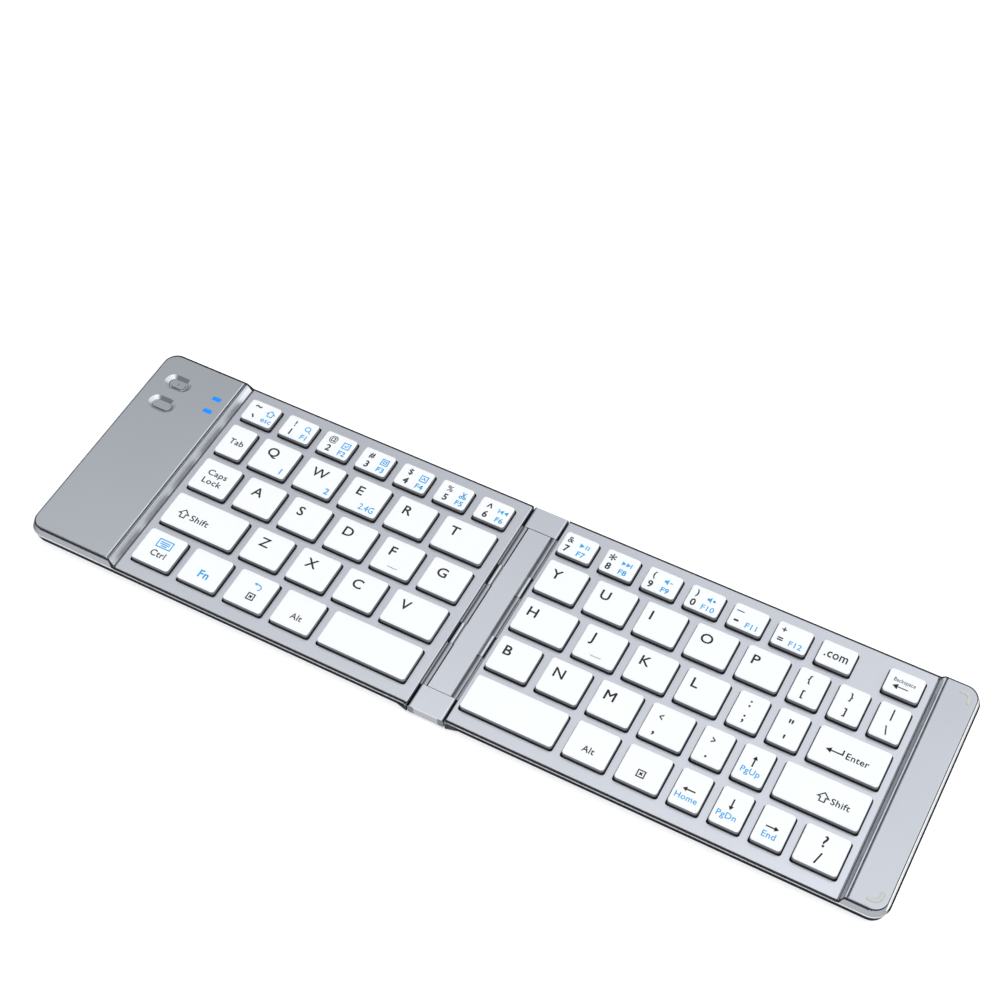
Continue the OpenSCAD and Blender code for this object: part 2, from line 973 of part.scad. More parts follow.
module spine_knuckle() {
    y0 = spine_knuckle_y;
    y1 = spine_knuckle_y + spine_knuckle_l;
    along_y(y0, y1) {
        translate([hinge_x, hinge_z])
            circle(knuckle_r);
        translate([channel_x - spine_wall + 0.1, hinge_z - neck_h])
            square([hinge_x - channel_x + spine_wall, channel_top_z - hinge_z + neck_h]);
        translate([channel_x + 0.02, hinge_z])
            square([hinge_x - channel_x, neck_h]);
    }
}

module spine_body() {
    color("silver")
        difference() {
            union() {
                both_sides() {
                    along_y(spine_end_y, half_d)
                        block_section();
                    spine_knuckle();
                    left_side()
                        spine_knuckle();
                }
                spine_channel();
            }
            hinge_bore(pin_r + pin_fit, half_d - pin_end + 0.1);
            left_side()
                hinge_bore(pin_r + pin_fit, half_d - pin_end + 0.1);
        }
}

module spine_panel() {
    w = channel_x - panel_gap;
    color("gainsboro")
        translate([-w, block_gap - spine_end_y, channel_top_z])
            cube([2 * w, 2 * (spine_end_y - block_gap), panel_t]);
}

module hinge_pins() {
    color("dimgray")
        for (s = [-1, 1])
            translate([s * hinge_x, half_d - pin_end, hinge_z])
                rotate([90, 0, 0])
                    cylinder(h = body_d - 2 * pin_end, r = pin_r);
}

module flex_cable() {
    color("orange")
        translate([fit_gap - channel_x, -flex_w / 2, spine_z + spine_wall])
            cube([2 * (channel_x - fit_gap), flex_w, flex_t]);
}

// Assembly -------------------------------------------------------------------

right_bottom_plate();
right_frame();
right_deck_plate();
right_end_cover();
right_end_bumpers();
right_board();
right_key_domes();
right_feet();
right_screws();
right_magnets();
left_bottom_plate();
left_frame();
left_deck_plate();
left_end_cover();
left_board();
left_key_domes();
left_feet();
left_screws();
left_magnets();
battery();
charge_port();
status_lights();
power_button();
connect_button();
spine_body();
spine_panel();
hinge_pins();
flex_cable();
for (c = letters)
    keys(c);
at_left_keys("_") key_cap($w, $d);  // left_space
at_right_keys("_") key_cap($w, $d);  // right_space
at_left_keys("#") key_cap($w, $d);  // left_number_keys
at_right_keys("#") key_cap($w, $d);  // right_number_keys
at_left_keys("-") key_cap($w, $d);  // left_command_keys
at_right_keys("-") key_cap($w, $d);  // right_command_keys
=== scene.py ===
"""Looks of the folding keyboard: metal halves, white keys with their printing, spine, studio."""

import logging
import math
from collections.abc import Iterator, Sequence
from dataclasses import dataclass, field
from enum import Enum

import bmesh
import bpy
from mathutils import Matrix, Vector


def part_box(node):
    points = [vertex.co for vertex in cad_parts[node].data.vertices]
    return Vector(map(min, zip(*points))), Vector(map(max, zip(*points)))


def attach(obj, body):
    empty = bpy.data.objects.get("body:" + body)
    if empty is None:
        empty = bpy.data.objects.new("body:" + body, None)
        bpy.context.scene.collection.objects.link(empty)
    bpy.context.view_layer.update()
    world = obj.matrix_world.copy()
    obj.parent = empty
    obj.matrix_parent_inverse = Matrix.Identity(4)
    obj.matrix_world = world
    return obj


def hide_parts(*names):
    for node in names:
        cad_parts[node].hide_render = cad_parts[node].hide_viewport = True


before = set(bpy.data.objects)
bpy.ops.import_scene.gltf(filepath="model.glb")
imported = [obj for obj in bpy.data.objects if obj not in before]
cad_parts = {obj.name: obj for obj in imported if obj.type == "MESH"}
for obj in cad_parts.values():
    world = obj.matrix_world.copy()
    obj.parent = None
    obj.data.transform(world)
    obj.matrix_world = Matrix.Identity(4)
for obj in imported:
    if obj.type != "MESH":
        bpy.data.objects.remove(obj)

LOG = logging.getLogger("folding_keyboard")
MM = 0.001
# a half-round end: its radius stays just under half the width, so that no two points meet
ROUND_END = 0.49

Piece = bpy.types.Object
Tree = bpy.types.NodeTree
Socket = bpy.types.NodeSocket
BMesh = bmesh.types.BMesh
BMVert = bmesh.types.BMVert
Inputs = dict[str | int, object]
Point = tuple[float, float]
Section = tuple[Point, ...]


# Colour and shader helpers ---------------------------------------------------


def linear(hex_colour: str) -> tuple[float, float, float, float]:
    """Turns an sRGB hex colour into linear RGBA.

    Args:
        hex_colour: Six hex digits, such as "c8cbd0".

    Returns:
        The linear red, green and blue values, and a full alpha.
    """
    values = [int(hex_colour[i : i + 2], 16) / 255 for i in (0, 2, 4)]
    red, green, blue = (v / 12.92 if v <= 0.04045 else ((v + 0.055) / 1.055) ** 2.4 for v in values)
    return red, green, blue, 1.0


def add_node(
    tree: Tree,
    kind: str,
    settings: dict[str, object] | None = None,
    inputs: Inputs | None = None,
) -> bpy.types.bpy_prop_collection:
    """Adds a shader node with its settings and links.

    Args:
        tree: Node tree that takes the node.
        kind: Blender's name of the node type, without its leading "ShaderNode".
        settings: Properties of the node itself.
        inputs: Values or output sockets for its inputs, by name or index.

    Returns:
        The new node's outputs.
    """
    node = tree.nodes.new(f"ShaderNode{kind}")
    for name, value in (settings or {}).items():
        setattr(node, name, value)
    for name, value in (inputs or {}).items():
        if isinstance(value, Socket):
            tree.links.new(value, node.inputs[name])
        else:
            node.inputs[name].default_value = value
    return node.outputs


def new_material(name: str) -> tuple[bpy.types.Material, Tree]:
    """Makes a material with an empty node tree.

    Args:
        name: Name of the material.

    Returns:
        The material and its node tree.
    """
    material = bpy.data.materials.new(name)
    material.use_nodes = True
    material.node_tree.nodes.clear()
    return material, material.node_tree


# Finishes --------------------------------------------------------------------


@dataclass(frozen=True)
class Grain:
    """Fine relief of a surface, which also makes its roughness uneven.

    Size and height are those of one grain. The last two values say how far the roughness falls
    in the hollows and rises on the tops.
    """

    size_mm: float
    height_mm: float = 0.0
    strength: float = 0.0
    detail: float = 2.0
    smoother: float = 0.05
    rougher: float = 0.05

    def inputs(self, tree: Tree, place: Socket, roughness: float) -> dict[str, Socket]:
        """Adds the grain's nodes.

        Args:
            tree: Node tree of the material.
            place: Coordinates on the piece, in metres.
            roughness: Roughness of the surface without its grain.

        Returns:
            The shader's roughness, and its normal where the grain has a height.
        """
        noise = add_node(
            tree,
            "TexNoise",
            inputs={"Vector": place, "Scale": 1 / (self.size_mm * MM), "Detail": self.detail},
        )[0]
        spread = {"Value": noise, "To Min": roughness - self.smoother, "To Max": roughness + self.rougher}
        found = {"Roughness": add_node(tree, "MapRange", inputs=spread)[0]}
        if self.height_mm:
            relief = {"Height": noise, "Strength": self.strength, "Distance": self.height_mm * MM}
            found["Normal"] = add_node(tree, "Bump", inputs=relief)[0]
        return found


class Surface:
    """What every finish shares: a named material round one shader."""

    name: str

    def shader_inputs(self, tree: Tree, place: Socket) -> Inputs:
        """Gives the shader's inputs; each finish has its own.

        Args:
            tree: Node tree of the material.
            place: Coordinates on the piece, in metres.

        Returns:
            Values and sockets by the name of the shader's input.
        """
        raise NotImplementedError

    def build(self) -> bpy.types.Material:
        """Builds the material."""
        material, tree = new_material(self.name)
        place = add_node(tree, "TexCoord")["Object"]
        shader = add_node(tree, "BsdfPrincipled", inputs=self.shader_inputs(tree, place))
        add_node(tree, "OutputMaterial", inputs={"Surface": shader[0]})
        return material


@dataclass(frozen=True)
class PaintedLightBand:
    """A band of painted light and shade: a change of tone between two heights above the table, beyond a
    distance from the fold, in mm.
    """

    low_mm: float
    high_mm: float
    colour: str
    fade_mm: float = 0.12
    beyond_mm: float = 7.5


@dataclass(frozen=True)
class AnodisedAluminium(Surface):
    """Aluminium sheet, bead blasted and clear anodised.

    The blasting leaves a fine even grain that spreads a highlight into a broad sheen, and the
    anodising keeps the metal pale and slightly cool. Bands at their heights on the piece paint
    light and shade into its colour: painted highlights on ridges, edges and slopes, and painted
    shade on flanks, in seams and on the underside.
    """

    name: str
    colour: str
    deep_colour: str
    roughness: float = 0.36
    bands: tuple[PaintedLightBand, ...] = ()
    edge_tint: str = "ffffff"
    # the blasting grit is about 0.1 mm: drawn a little coarser, so that it shows at all
    grit: Grain = Grain(0.25, height_mm=0.004, strength=0.25, smoother=0.03)
    # the dye bath leaves clouds some centimetres wide
    cloud_mm: float = 35.0
    cloud_share: float = 0.35

    def banded(self, tree: Tree, place: Socket, colour: Socket) -> Socket:
        """Lays the bands of painted light and shade over the colour.

        Args:
            tree: Node tree of the material.
            place: Coordinates on the piece, in metres.
            colour: Colour of the metal without its bands.

        Returns:
            The colour with its bands.
        """
        if not self.bands:
            return colour
        axes = add_node(tree, "SeparateXYZ", inputs={0: place})
        across = add_node(tree, "Math", {"operation": "ABSOLUTE"}, {0: axes[0]})[0]
        for band in self.bands:
            middle = (band.low_mm + band.high_mm) / 2 * MM
            half = (band.high_mm - band.low_mm) / 2 * MM
            fade = band.fade_mm / 2 * MM
            away = add_node(tree, "Math", {"operation": "SUBTRACT"}, {0: axes[2], 1: middle})[0]
            away = add_node(tree, "Math", {"operation": "ABSOLUTE"}, {0: away})[0]
            ends = {"From Min": half - fade, "From Max": half + fade, "To Min": 1.0, "To Max": 0.0}
            inside = add_node(tree, "MapRange", inputs={"Value": away, **ends})[0]
            beyond = {0: across, 1: band.beyond_mm * MM}
            clear = add_node(tree, "Math", {"operation": "GREATER_THAN"}, beyond)[0]
            share = add_node(tree, "Math", {"operation": "MULTIPLY"}, {0: inside, 1: clear})[0]
            colours = {0: share, 6: colour, 7: linear(band.colour)}
            colour = add_node(tree, "Mix", {"data_type": "RGBA"}, colours)[2]
        return colour

    def shader_inputs(self, tree: Tree, place: Socket) -> Inputs:
        """Gives the shader's inputs: clouded metal with bands of painted light and shade, under a fine
        grit.

        Args:
            tree: Node tree of the material.
            place: Coordinates on the piece, in metres.

        Returns:
            Values and sockets by the name of the shader's input.
        """
        cloud = add_node(
            tree, "TexNoise", inputs={"Vector": place, "Scale": 1 / (self.cloud_mm * MM), "Detail": 1.0}
        )[0]
        ends = {"From Min": 0.25, "From Max": 0.75, "To Min": 0.0, "To Max": self.cloud_share}
        tint = add_node(tree, "MapRange", inputs={"Value": cloud, **ends})[0]
        colours = {0: tint, 6: linear(self.colour), 7: linear(self.deep_colour)}
        colour = add_node(tree, "Mix", {"data_type": "RGBA"}, colours)[2]
        return {
            "Base Color": self.banded(tree, place, colour),
            "Metallic": 1.0,
            "Specular Tint": linear(self.edge_tint),
            **self.grit.inputs(tree, place, self.roughness),
        }


@dataclass(frozen=True)
class MouldedPlastic(Surface):
    """Injection-moulded plastic with the fine spark-eroded texture of its mould.

    The texture breaks a reflection into a soft satin patch, and the resin's index gives the
    weak white sheen at grazing angles. Ink, silicone, laminate and film look near enough to
    share it, each with its own tone, roughness and index.
    """

    name: str
    colour: str
    roughness: float = 0.45
    ior: float = 1.53
    subsurface: float = 0.0
    emission: str = "ffffff"
    emission_strength: float = 0.0
    # a mould's texture is under 0.1 mm: drawn coarser, so that it shows at all
    texture: Grain = Grain(0.3, height_mm=0.003, strength=0.2, detail=1.0)
    scatter_mm: float = 0.4

    def shader_inputs(self, tree: Tree, place: Socket) -> Inputs:
        """Gives the shader's inputs: resin under a fine texture.

        Args:
            tree: Node tree of the material.
            place: Coordinates on the piece, in metres.

        Returns:
            Values and sockets by the name of the shader's input.
        """
        return {
            "Base Color": linear(self.colour),
            "IOR": self.ior,
            "Subsurface Weight": self.subsurface,
            "Subsurface Scale": self.scatter_mm * MM,
            "Emission Color": linear(self.emission),
            "Emission Strength": self.emission_strength,
            **self.texture.inputs(tree, place, self.roughness),
        }


@dataclass(frozen=True)
class TurnedSteel(Surface):
    """Drawn or turned steel, a little darker than the aluminium.

    The tool leaves fine lines that draw a highlight out across them.
    """

    name: str
    colour: str
    roughness: float = 0.3
    lines: Grain = Grain(0.08, smoother=0.08, rougher=0.08)
    stretch: tuple[float, float, float] = (1.0, 0.04, 1.0)

    def shader_inputs(self, tree: Tree, place: Socket) -> Inputs:
        """Gives the shader's inputs: steel with lines along Y.

        Args:
            tree: Node tree of the material.
            place: Coordinates on the piece, in metres.

        Returns:
            Values and sockets by the name of the shader's input.
        """
        stretched = add_node(tree, "Mapping", inputs={"Vector": place, "Scale": self.stretch})[0]
        return {
            "Base Color": linear(self.colour),
            "Metallic": 1.0,
            **self.lines.inputs(tree, stretched, self.roughness),
        }


class Finish(Enum):
    """Every finish on the keyboard."""

    # metals: pale broad sheen on what faces up, painted shade on flanks and seams, painted highlights on
    # ridges, edges and slopes
    PLATE = AnodisedAluminium(
        "anodised_aluminium_plate",
        "c6c9cf",
        "bbbec5",
        # painted highlight: the end cover is lighter between these heights, across its slope
        bands=(PaintedLightBand(5.3, 6.8, "dddfe4", fade_mm=0.3),),
    )
    # painted shade: the underside is darker than the plate, and darker still in a band at its rim
    UNDERSIDE = AnodisedAluminium(
        "anodised_aluminium_underside", "9c9fa5", "8f9298", bands=(PaintedLightBand(1.0, 2.0, "5a5c61"),)
    )
    # painted shade: the frame is darker than the plate all over, for its shaded walls
    FRAME = AnodisedAluminium(
        "anodised_aluminium_frame",
        "9ea0a5",
        "929499",
        roughness=0.3,
        bands=(
            # painted shade on the lower flank
            PaintedLightBand(-1.0, 4.1, "54565a", beyond_mm=6.3),
            # painted highlight along the ridge
            PaintedLightBand(4.2, 5.14, "f6f7f9"),
            # painted shade on the outer end's wall
            PaintedLightBand(-1.0, 6.3, "3c3d40", beyond_mm=145.2),
            # painted highlight along the outer end's top edge
            PaintedLightBand(6.3, 7.8, "ffffff", beyond_mm=144.7),
        ),
        edge_tint="808080",
    )
    DECK = AnodisedAluminium(
        "anodised_aluminium_deck",
        "d5d7de",
        "cbcdd4",
        roughness=0.38,
        # painted shade: below its top face the deck plate is near black, on its cut edges and in the walls
        # of the key openings
        bands=(PaintedLightBand(4.0, 5.2, "1c1d1f", beyond_mm=0.0),),
    )
    SPINE = AnodisedAluminium(
        "anodised_aluminium_spine",
        "d7d9e0",
        "cdcfd6",
        bands=(
            # painted shade on the spine's faces below its top
            PaintedLightBand(-1.0, 4.6, "a4a6ab", beyond_mm=0.0),
            # painted shade, darker, on its sides beside the panel
            PaintedLightBand(-1.0, 4.97, "6e7074", fade_mm=0.05, beyond_mm=4.1),
        ),
    )
    BUTTON = AnodisedAluminium("anodised_aluminium_button", "c8cbd1", "bdc0c6", roughness=0.3)
    STEEL = TurnedSteel("turned_steel", "9da0a4")
    # keys: satin white tops that glow a little at their edges; their white sides are drawn in painted
    # shade, grey on the skirt and black on the foot in the shadow of the gap
    CAP = MouldedPlastic("moulded_white_abs", "f6f7f9", roughness=0.42, subsurface=0.1)
    SKIRT_SHADE = MouldedPlastic("skirt_painted_shade", "7e8084", roughness=0.5)
    CAP_FOOT_SHADOW = MouldedPlastic("cap_foot_painted_shadow", "0c0c0d", roughness=0.6)
    BLACK_INK = MouldedPlastic("black_print_ink", "0a0a0b", roughness=0.55)
    BLUE_INK = MouldedPlastic("blue_print_ink", "00a2e2", roughness=0.55)
    # fittings: dull black painted shadow in the seams and round the buttons, smooth and slightly wet where
    # it is silicone
    PAINTED_SHADOW = MouldedPlastic("black_painted_shadow", "050506", roughness=0.7)
    PAD = MouldedPlastic("clear_silicone_pad", "c9c8c4", roughness=0.3, ior=1.41, subsurface=0.3)
    FOOT = MouldedPlastic("soft_grey_silicone_foot", "c9ccd0", roughness=0.28, ior=1.41)
    LIGHT = MouldedPlastic(
        "blue_lit_acrylic", "0a7bff", 0.15, 1.49, emission="0080ff", emission_strength=0.45
    )
    # inside: glossy laminate and film, milky domes, bright foil
    BOARD = MouldedPlastic("green_circuit_laminate", "14401f", roughness=0.35)
    DOMES = MouldedPlastic("clear_silicone_domes", "d4d6d8", roughness=0.35, ior=1.41)
    BATTERY = MouldedPlastic("foil_battery_pouch", "8d9095", roughness=0.3)
    FLEX = MouldedPlastic("amber_polyimide", "a8641c", roughness=0.3, ior=1.7)


FINISHES: dict[Finish, bpy.types.Material] = {}


def dress(piece: Piece, *finishes: Finish) -> None:
    """Gives a piece its finishes, one for each material slot; each material is built once.

    Args:
        piece: Object to dress.
        finishes: Finishes in the order of the slots.
    """
    for i, finish in enumerate(finishes):
        if finish not in FINISHES:
            FINISHES[finish] = finish.value.build()
        if i < len(piece.material_slots):
            piece.material_slots[i].material = FINISHES[finish]
        else:
            piece.data.materials.append(FINISHES[finish])


# Mesh helpers ----------------------------------------------------------------


def add_piece(name: str, mesh: BMesh, body: str) -> Piece:
    """Turns a bmesh in metres into a piece that rides on a body.

    Args:
        name: Name of the new object.
        mesh: Finished bmesh, freed here.
        body: CAD body that carries the piece.

    Returns:
        The new object.
    """
    data = bpy.data.meshes.new(name)
    mesh.to_mesh(data)
    mesh.free()
    piece = bpy.data.objects.new(name, data)
    bpy.context.scene.collection.objects.link(piece)
    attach(piece, body)
    return piece


def rounded_ring(width: float, depth: float, radius: float, steps: int = 6) -> list[Point]:
    """Outline of a round-cornered rectangle about the origin.

    Args:
        width: Size along X.
        depth: Size along Y.
        radius: Corner radius.
        steps: Pieces in each quarter round.

    Returns:
        Points in order, anticlockwise.
    """
    ring = []
    for sx, sy, start in ((1, 1, 0), (-1, 1, 90), (-1, -1, 180), (1, -1, 270)):
        for i in range(steps + 1):
            angle = math.radians(start + 90 * i / steps)
            x = sx * (width / 2 - radius) + radius * math.cos(angle)
            y = sy * (depth / 2 - radius) + radius * math.sin(angle)
            ring.append((x, y))
    return ring


def add_ring(
    mesh: BMesh, origin: Vector, outline: Sequence[Point], height: float = 0.0
) -> list[BMVert]:
    """Adds the points of a level outline.

    Args:
        mesh: Bmesh in metres.
        origin: Point in metres that the outline is measured from.
        outline: The outline in mm.
        height: Its height above the origin in mm.

    Returns:
        The new points, in the outline's order.
    """
    z = origin.z + height * MM
    return [mesh.verts.new((origin.x + x * MM, origin.y + y * MM, z)) for x, y in outline]


def skin(mesh: BMesh, rings: list[list[BMVert]], slots: Sequence[int], smooth: bool = True) -> None:
    """Closes the bands between rings of equal count.

    Args:
        mesh: Bmesh that takes the faces.
        rings: Rings of points, each joined to the next.
        slots: Material index of each band.
        smooth: Whether the faces are smooth shaded.
    """
    for lower, upper, slot in zip(rings, rings[1:], slots):
        for i, vert in enumerate(lower):
            j = (i + 1) % len(lower)
            face = mesh.faces.new((vert, lower[j], upper[j], upper[i]))
            face.material_index = slot
            face.smooth = smooth


def islands(node: str) -> list[tuple[Vector, Vector]]:
    """Boxes of the separate solids in a CAD node.

    Args:
        node: Name of the CAD node.

    Returns:
        The lowest and highest corner of each solid, from the back row to the front, then left
        to right.
    """
    mesh = bmesh.new()
    mesh.from_mesh(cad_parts[node].data)
    bmesh.ops.remove_doubles(mesh, verts=mesh.verts, dist=1e-6)
    left = set(mesh.verts)
    boxes = []
    while left:
        start = left.pop()
        found = [start]
        stack = [start]
        while stack:
            for edge in stack.pop().link_edges:
                for vert in edge.verts:
                    if vert in left:
                        left.remove(vert)
                        found.append(vert)
                        stack.append(vert)
        low, high = (Vector([end(v.co[i] for v in found) for i in range(3)]) for end in (min, max))
        boxes.append((low, high))
    mesh.free()
    return sorted(boxes, key=lambda b: (-round((b[0].y + b[1].y) / 2 / MM), b[0].x))


# Key legends -----------------------------------------------------------------


class Ink(Enum):
    """The two printing inks on the keys, by their material index."""

    BLACK = 0
    BLUE = 1


@dataclass(frozen=True)
class Stroke:
    """A line of a sign, or an outline filled with ink, in a square of side 1 about the origin."""

    points: tuple[Point, ...]
    filled: bool = False


def drawn(*points: Point) -> Stroke:
    """Returns a line through the points."""
    return Stroke(points)


def filled(*points: Point) -> Stroke:
    """Returns an outline filled with ink."""
    return Stroke(points, filled=True)


def arrow(angle: float) -> tuple[Stroke, ...]:
    """Strokes of an arrow through the middle of the unit square.

    Args:
        angle: Direction in degrees, 0 to the right.

    Returns:
        The shaft, which ends inside the head, and the head.
    """
    c, s = math.cos(math.radians(angle)), math.sin(math.radians(angle))
    tip, head, spread, shaft_share = 0.5, 0.34, 0.62, 0.6

    def turn(x: float, y: float) -> Point:
        """Turns a point by the arrow's angle."""
        return x * c - y * s, x * s + y * c

    corners = (turn(tip, 0), turn(tip - head, head * spread), turn(tip - head, -head * spread))
    return drawn(turn(-tip, 0), turn(tip - head * shaft_share, 0)), filled(*corners)


def arc(x: float, y: float, r: float, start: float = 0, end: float = 360) -> list[Point]:
    """Points on an arc of the unit square.

    Args:
        x: Centre along X.
        y: Centre along Y.
        r: Radius.
        start: First angle in degrees.
        end: Last angle in degrees.

    Returns:
        Points every 20 degrees or so.
    """
    steps = max(4, round(abs(end - start) / 20))
    angles = [math.radians(start + (end - start) * i / steps) for i in range(steps + 1)]
    return [(x + r * math.cos(a), y + r * math.sin(a)) for a in angles]


BOX = drawn((-0.42, -0.42), (0.42, -0.42), (0.42, 0.42), (-0.42, 0.42), (-0.42, -0.42))
SPEAKER = filled(
    (-0.5, -0.16), (-0.5, 0.16), (-0.28, 0.16), (-0.02, 0.4), (-0.02, -0.4), (-0.28, -0.16)
)
MINUS = drawn((0.14, 0), (0.5, 0))


class SignShape(Enum):
    """Small drawn signs, each with its strokes in a square of side 1."""

    UP = arrow(90)
    DOWN = arrow(270)
    LEFT = arrow(180)
    RIGHT = arrow(0)
    ENTER = (
        drawn((0.5, 0.34), (0.5, 0), (-0.3, 0)),
        filled((-0.55, 0), (-0.2, 0.19), (-0.2, -0.19)),
    )
    SHIFT = (
        drawn(
            *((0, 0.5), (-0.5, 0.02), (-0.24, 0.02), (-0.24, -0.42)),
            *((0.24, -0.42), (0.24, 0.02), (0.5, 0.02), (0, 0.5)),
        ),
    )
    HOUSE = (
        drawn(
            *((-0.5, 0.02), (0, 0.45), (0.5, 0.02), (0.3, 0.02)),
            *((0.3, -0.4), (-0.3, -0.4), (-0.3, 0.02), (-0.5, 0.02)),
        ),
    )
    LENS = (drawn(*arc(-0.08, 0.1, 0.32)), drawn((0.15, -0.14), (0.42, -0.45)))
    BOX_MARK = (BOX, drawn((-0.18, -0.18), (0.18, 0.18)), drawn((-0.18, 0.18), (0.18, -0.18)))
    BOX_TICK = (BOX, drawn((-0.2, 0.02), (-0.04, -0.16), (0.22, 0.18)))
    PAGE = (BOX, drawn((-0.16, 0.18), (0.2, 0.18), (0.2, -0.16), (-0.16, -0.16), (-0.16, 0.18)))
    BOX_PEAK = (BOX, drawn((-0.24, -0.2), (0.0, 0.16), (0.24, -0.2)))
    TILDE = (drawn((-0.5, -0.12), (-0.28, 0.12), (0.0, 0.02), (0.28, -0.1), (0.5, 0.14)),)
    GRAVE = (drawn((-0.2, 0.3), (0.2, -0.3)),)
    SCISSORS = (
        drawn(*arc(-0.24, -0.3, 0.15)),
        drawn(*arc(0.24, -0.3, 0.15)),
        drawn((-0.16, -0.18), (0.22, 0.48)),
        drawn((0.16, -0.18), (-0.22, 0.48)),
    )
    BACK_TRACK = (
        drawn((-0.5, -0.26), (-0.5, 0.26)),
        filled((-0.42, 0), (-0.02, 0.26), (-0.02, -0.26)),
        filled((0.04, 0), (0.46, 0.26), (0.46, -0.26)),
    )
    PLAY_PAUSE = (
        filled((-0.02, 0), (-0.5, 0.28), (-0.5, -0.28)),
        drawn((0.16, -0.26), (0.16, 0.26)),
        drawn((0.42, -0.26), (0.42, 0.26)),
    )
    NEXT_TRACK = (
        drawn((0.5, -0.26), (0.5, 0.26)),
        filled((0.42, 0), (0.02, 0.26), (0.02, -0.26)),
        filled((-0.04, 0), (-0.46, 0.26), (-0.46, -0.26)),
    )
    QUIETER = (SPEAKER, MINUS)
    LOUDER = (SPEAKER, MINUS, drawn((0.32, -0.18), (0.32, 0.18)))
    KEYBOARD = (
        drawn((-0.5, -0.3), (0.5, -0.3), (0.5, 0.3), (-0.5, 0.3), (-0.5, -0.3)),
        drawn((-0.34, 0.12), (0.34, 0.12)),
        drawn((-0.34, -0.02), (0.34, -0.02)),
        drawn((-0.22, -0.16), (0.22, -0.16)),
    )
    TURN_BACK = (
        drawn(*arc(0.05, -0.05, 0.32, -70, 90), (-0.2, 0.27)),
        filled((-0.5, 0.27), (-0.2, 0.46), (-0.2, 0.08)),
    )


TRACK_SIGNS = (SignShape.BACK_TRACK, SignShape.PLAY_PAUSE, SignShape.NEXT_TRACK)


class Anchor(Enum):
    """Where a word's x is measured from: the middle of the key top, or its left edge."""

    MIDDLE = 0
    LEFT = 1


@dataclass(frozen=True)
class Word:
    """Printed text: its place on the key top and the height of its capitals, in mm.

    Its x is that of its middle, or that of its left edge when it is anchored to the left.
    """

    text: str
    x: float
    y: float
    size: float
    ink: Ink = Ink.BLACK
    stretch: float = 0.97
    anchor: Anchor = Anchor.MIDDLE


@dataclass(frozen=True)
class Sign:
    """A drawn sign: its centre on the key top, its side and the width of its line, in mm."""

    shape: SignShape
    x: float
    y: float
    size: float
    ink: Ink = Ink.BLACK
    line: float = 0.4


Mark = Word | Sign
Legend = tuple[Mark, ...]


@dataclass(frozen=True)
class HalfPrint:
    """How one half's printing sits on its caps, in mm: the two halves are printed a little apart."""

    letter_x: float
    number_x: float
    function_x: float
    upper_y: float = 1.65
    lower_y: float = -2.05
    sign_y: float = 0.95
    function_y: float = -2.4
    letter_size: float = 3.75
    letter_stretch: float = 1.05
    upper_size: float = 2.45
    lower_size: float = 2.8
    sign_size: float = 2.8
    track_size: float = 3.3
    sign_line: float = 0.38
    function_size: float = 2.15
    function_stretch: float = 1.03

    def function_marks(self, sign: SignShape | None, function: str) -> Legend:
        """Marks of a key's second use, in blue.

        Args:
            sign: Sign above the function's name, if any.
            function: Name of the function.

        Returns:
            The sign and the name.
        """
        word = Word(
            function, self.function_x, self.function_y, self.function_size, Ink.BLUE, self.function_stretch
        )
        if sign is None:
            return (word,)
        size = self.track_size if sign in TRACK_SIGNS else self.sign_size
        return Sign(sign, self.function_x, self.sign_y, size, Ink.BLUE, self.sign_line), word

    def number_keys(
        self, uppers: str, lowers: str, first: int, signs: Sequence[SignShape | None]
    ) -> list[Legend]:
        """Legends of a run of number keys.

        Args:
            uppers: Shifted mark of each key.
            lowers: Plain mark of each key.
            first: Number of the first key's function.
            signs: Blue sign of each key, if any.

        Returns:
            The keys' legends, from left to right.
        """
        return [
            (
                Word(upper, self.number_x, self.upper_y, MARK_SIZES.get(upper, self.upper_size)),
                Word(lower, self.number_x, self.lower_y, MARK_SIZES.get(lower, self.lower_size)),
                *self.function_marks(sign, f"F{first + i}"),
            )
            for i, (upper, lower, sign) in enumerate(zip(uppers, lowers, signs, strict=True))
        ]

    def letter_key(self, letter: str) -> Legend:
        """Returns a letter, set from the cap's left edge, and its small blue extra."""
        place = (self.letter_x, self.upper_y, self.letter_size)
        word = Word(letter, *place, stretch=self.letter_stretch, anchor=Anchor.LEFT)
        return word, *LETTER_EXTRAS.get(letter, ())


def pair_legend(upper: str, lower: str, x: float, size: float = 2.6) -> Legend:
    """Marks of a punctuation key, one above the other.

    Args:
        upper: Shifted mark.
        lower: Plain mark.
        x: Place of the column.
        size: Height of the set size's capitals.

    Returns:
        The key's marks.
    """
    return Word(upper, x, 2.6, size), Word(lower, x, -3.1, size)


# marks that are set larger than the rest of their row, since they fill little of their height
MARK_SIZES = {"*": 4.4, "^": 3.3, "_": 3.6, "-": 4.4}
LEFT_PRINT = HalfPrint(letter_x=3.35, number_x=-2.05, function_x=3.1)
RIGHT_PRINT = HalfPrint(letter_x=2.65, number_x=-3.15, function_x=1.95)
LEFT_LETTERS = "QWERTASDFGZXCV"
LETTER_EXTRAS = {
    "Q": (Word("1", 4.6, -3.86, 2.6, Ink.BLUE),),
    "W": (Word("2", 5.0, -3.86, 2.6, Ink.BLUE),),
    "E": (Word("2.4G", 2.75, -3.86, 2.6, Ink.BLUE, 0.78),),
}
LEFT_SIGNS = (
    SignShape.LENS,
    SignShape.BOX_TICK,
    SignShape.PAGE,
    SignShape.BOX_PEAK,
    SignShape.SCISSORS,
    SignShape.BACK_TRACK,
)
RIGHT_SIGNS = (
    SignShape.PLAY_PAUSE,
    SignShape.NEXT_TRACK,
    SignShape.QUIETER,
    SignShape.LOUDER,
    None,
    None,
)
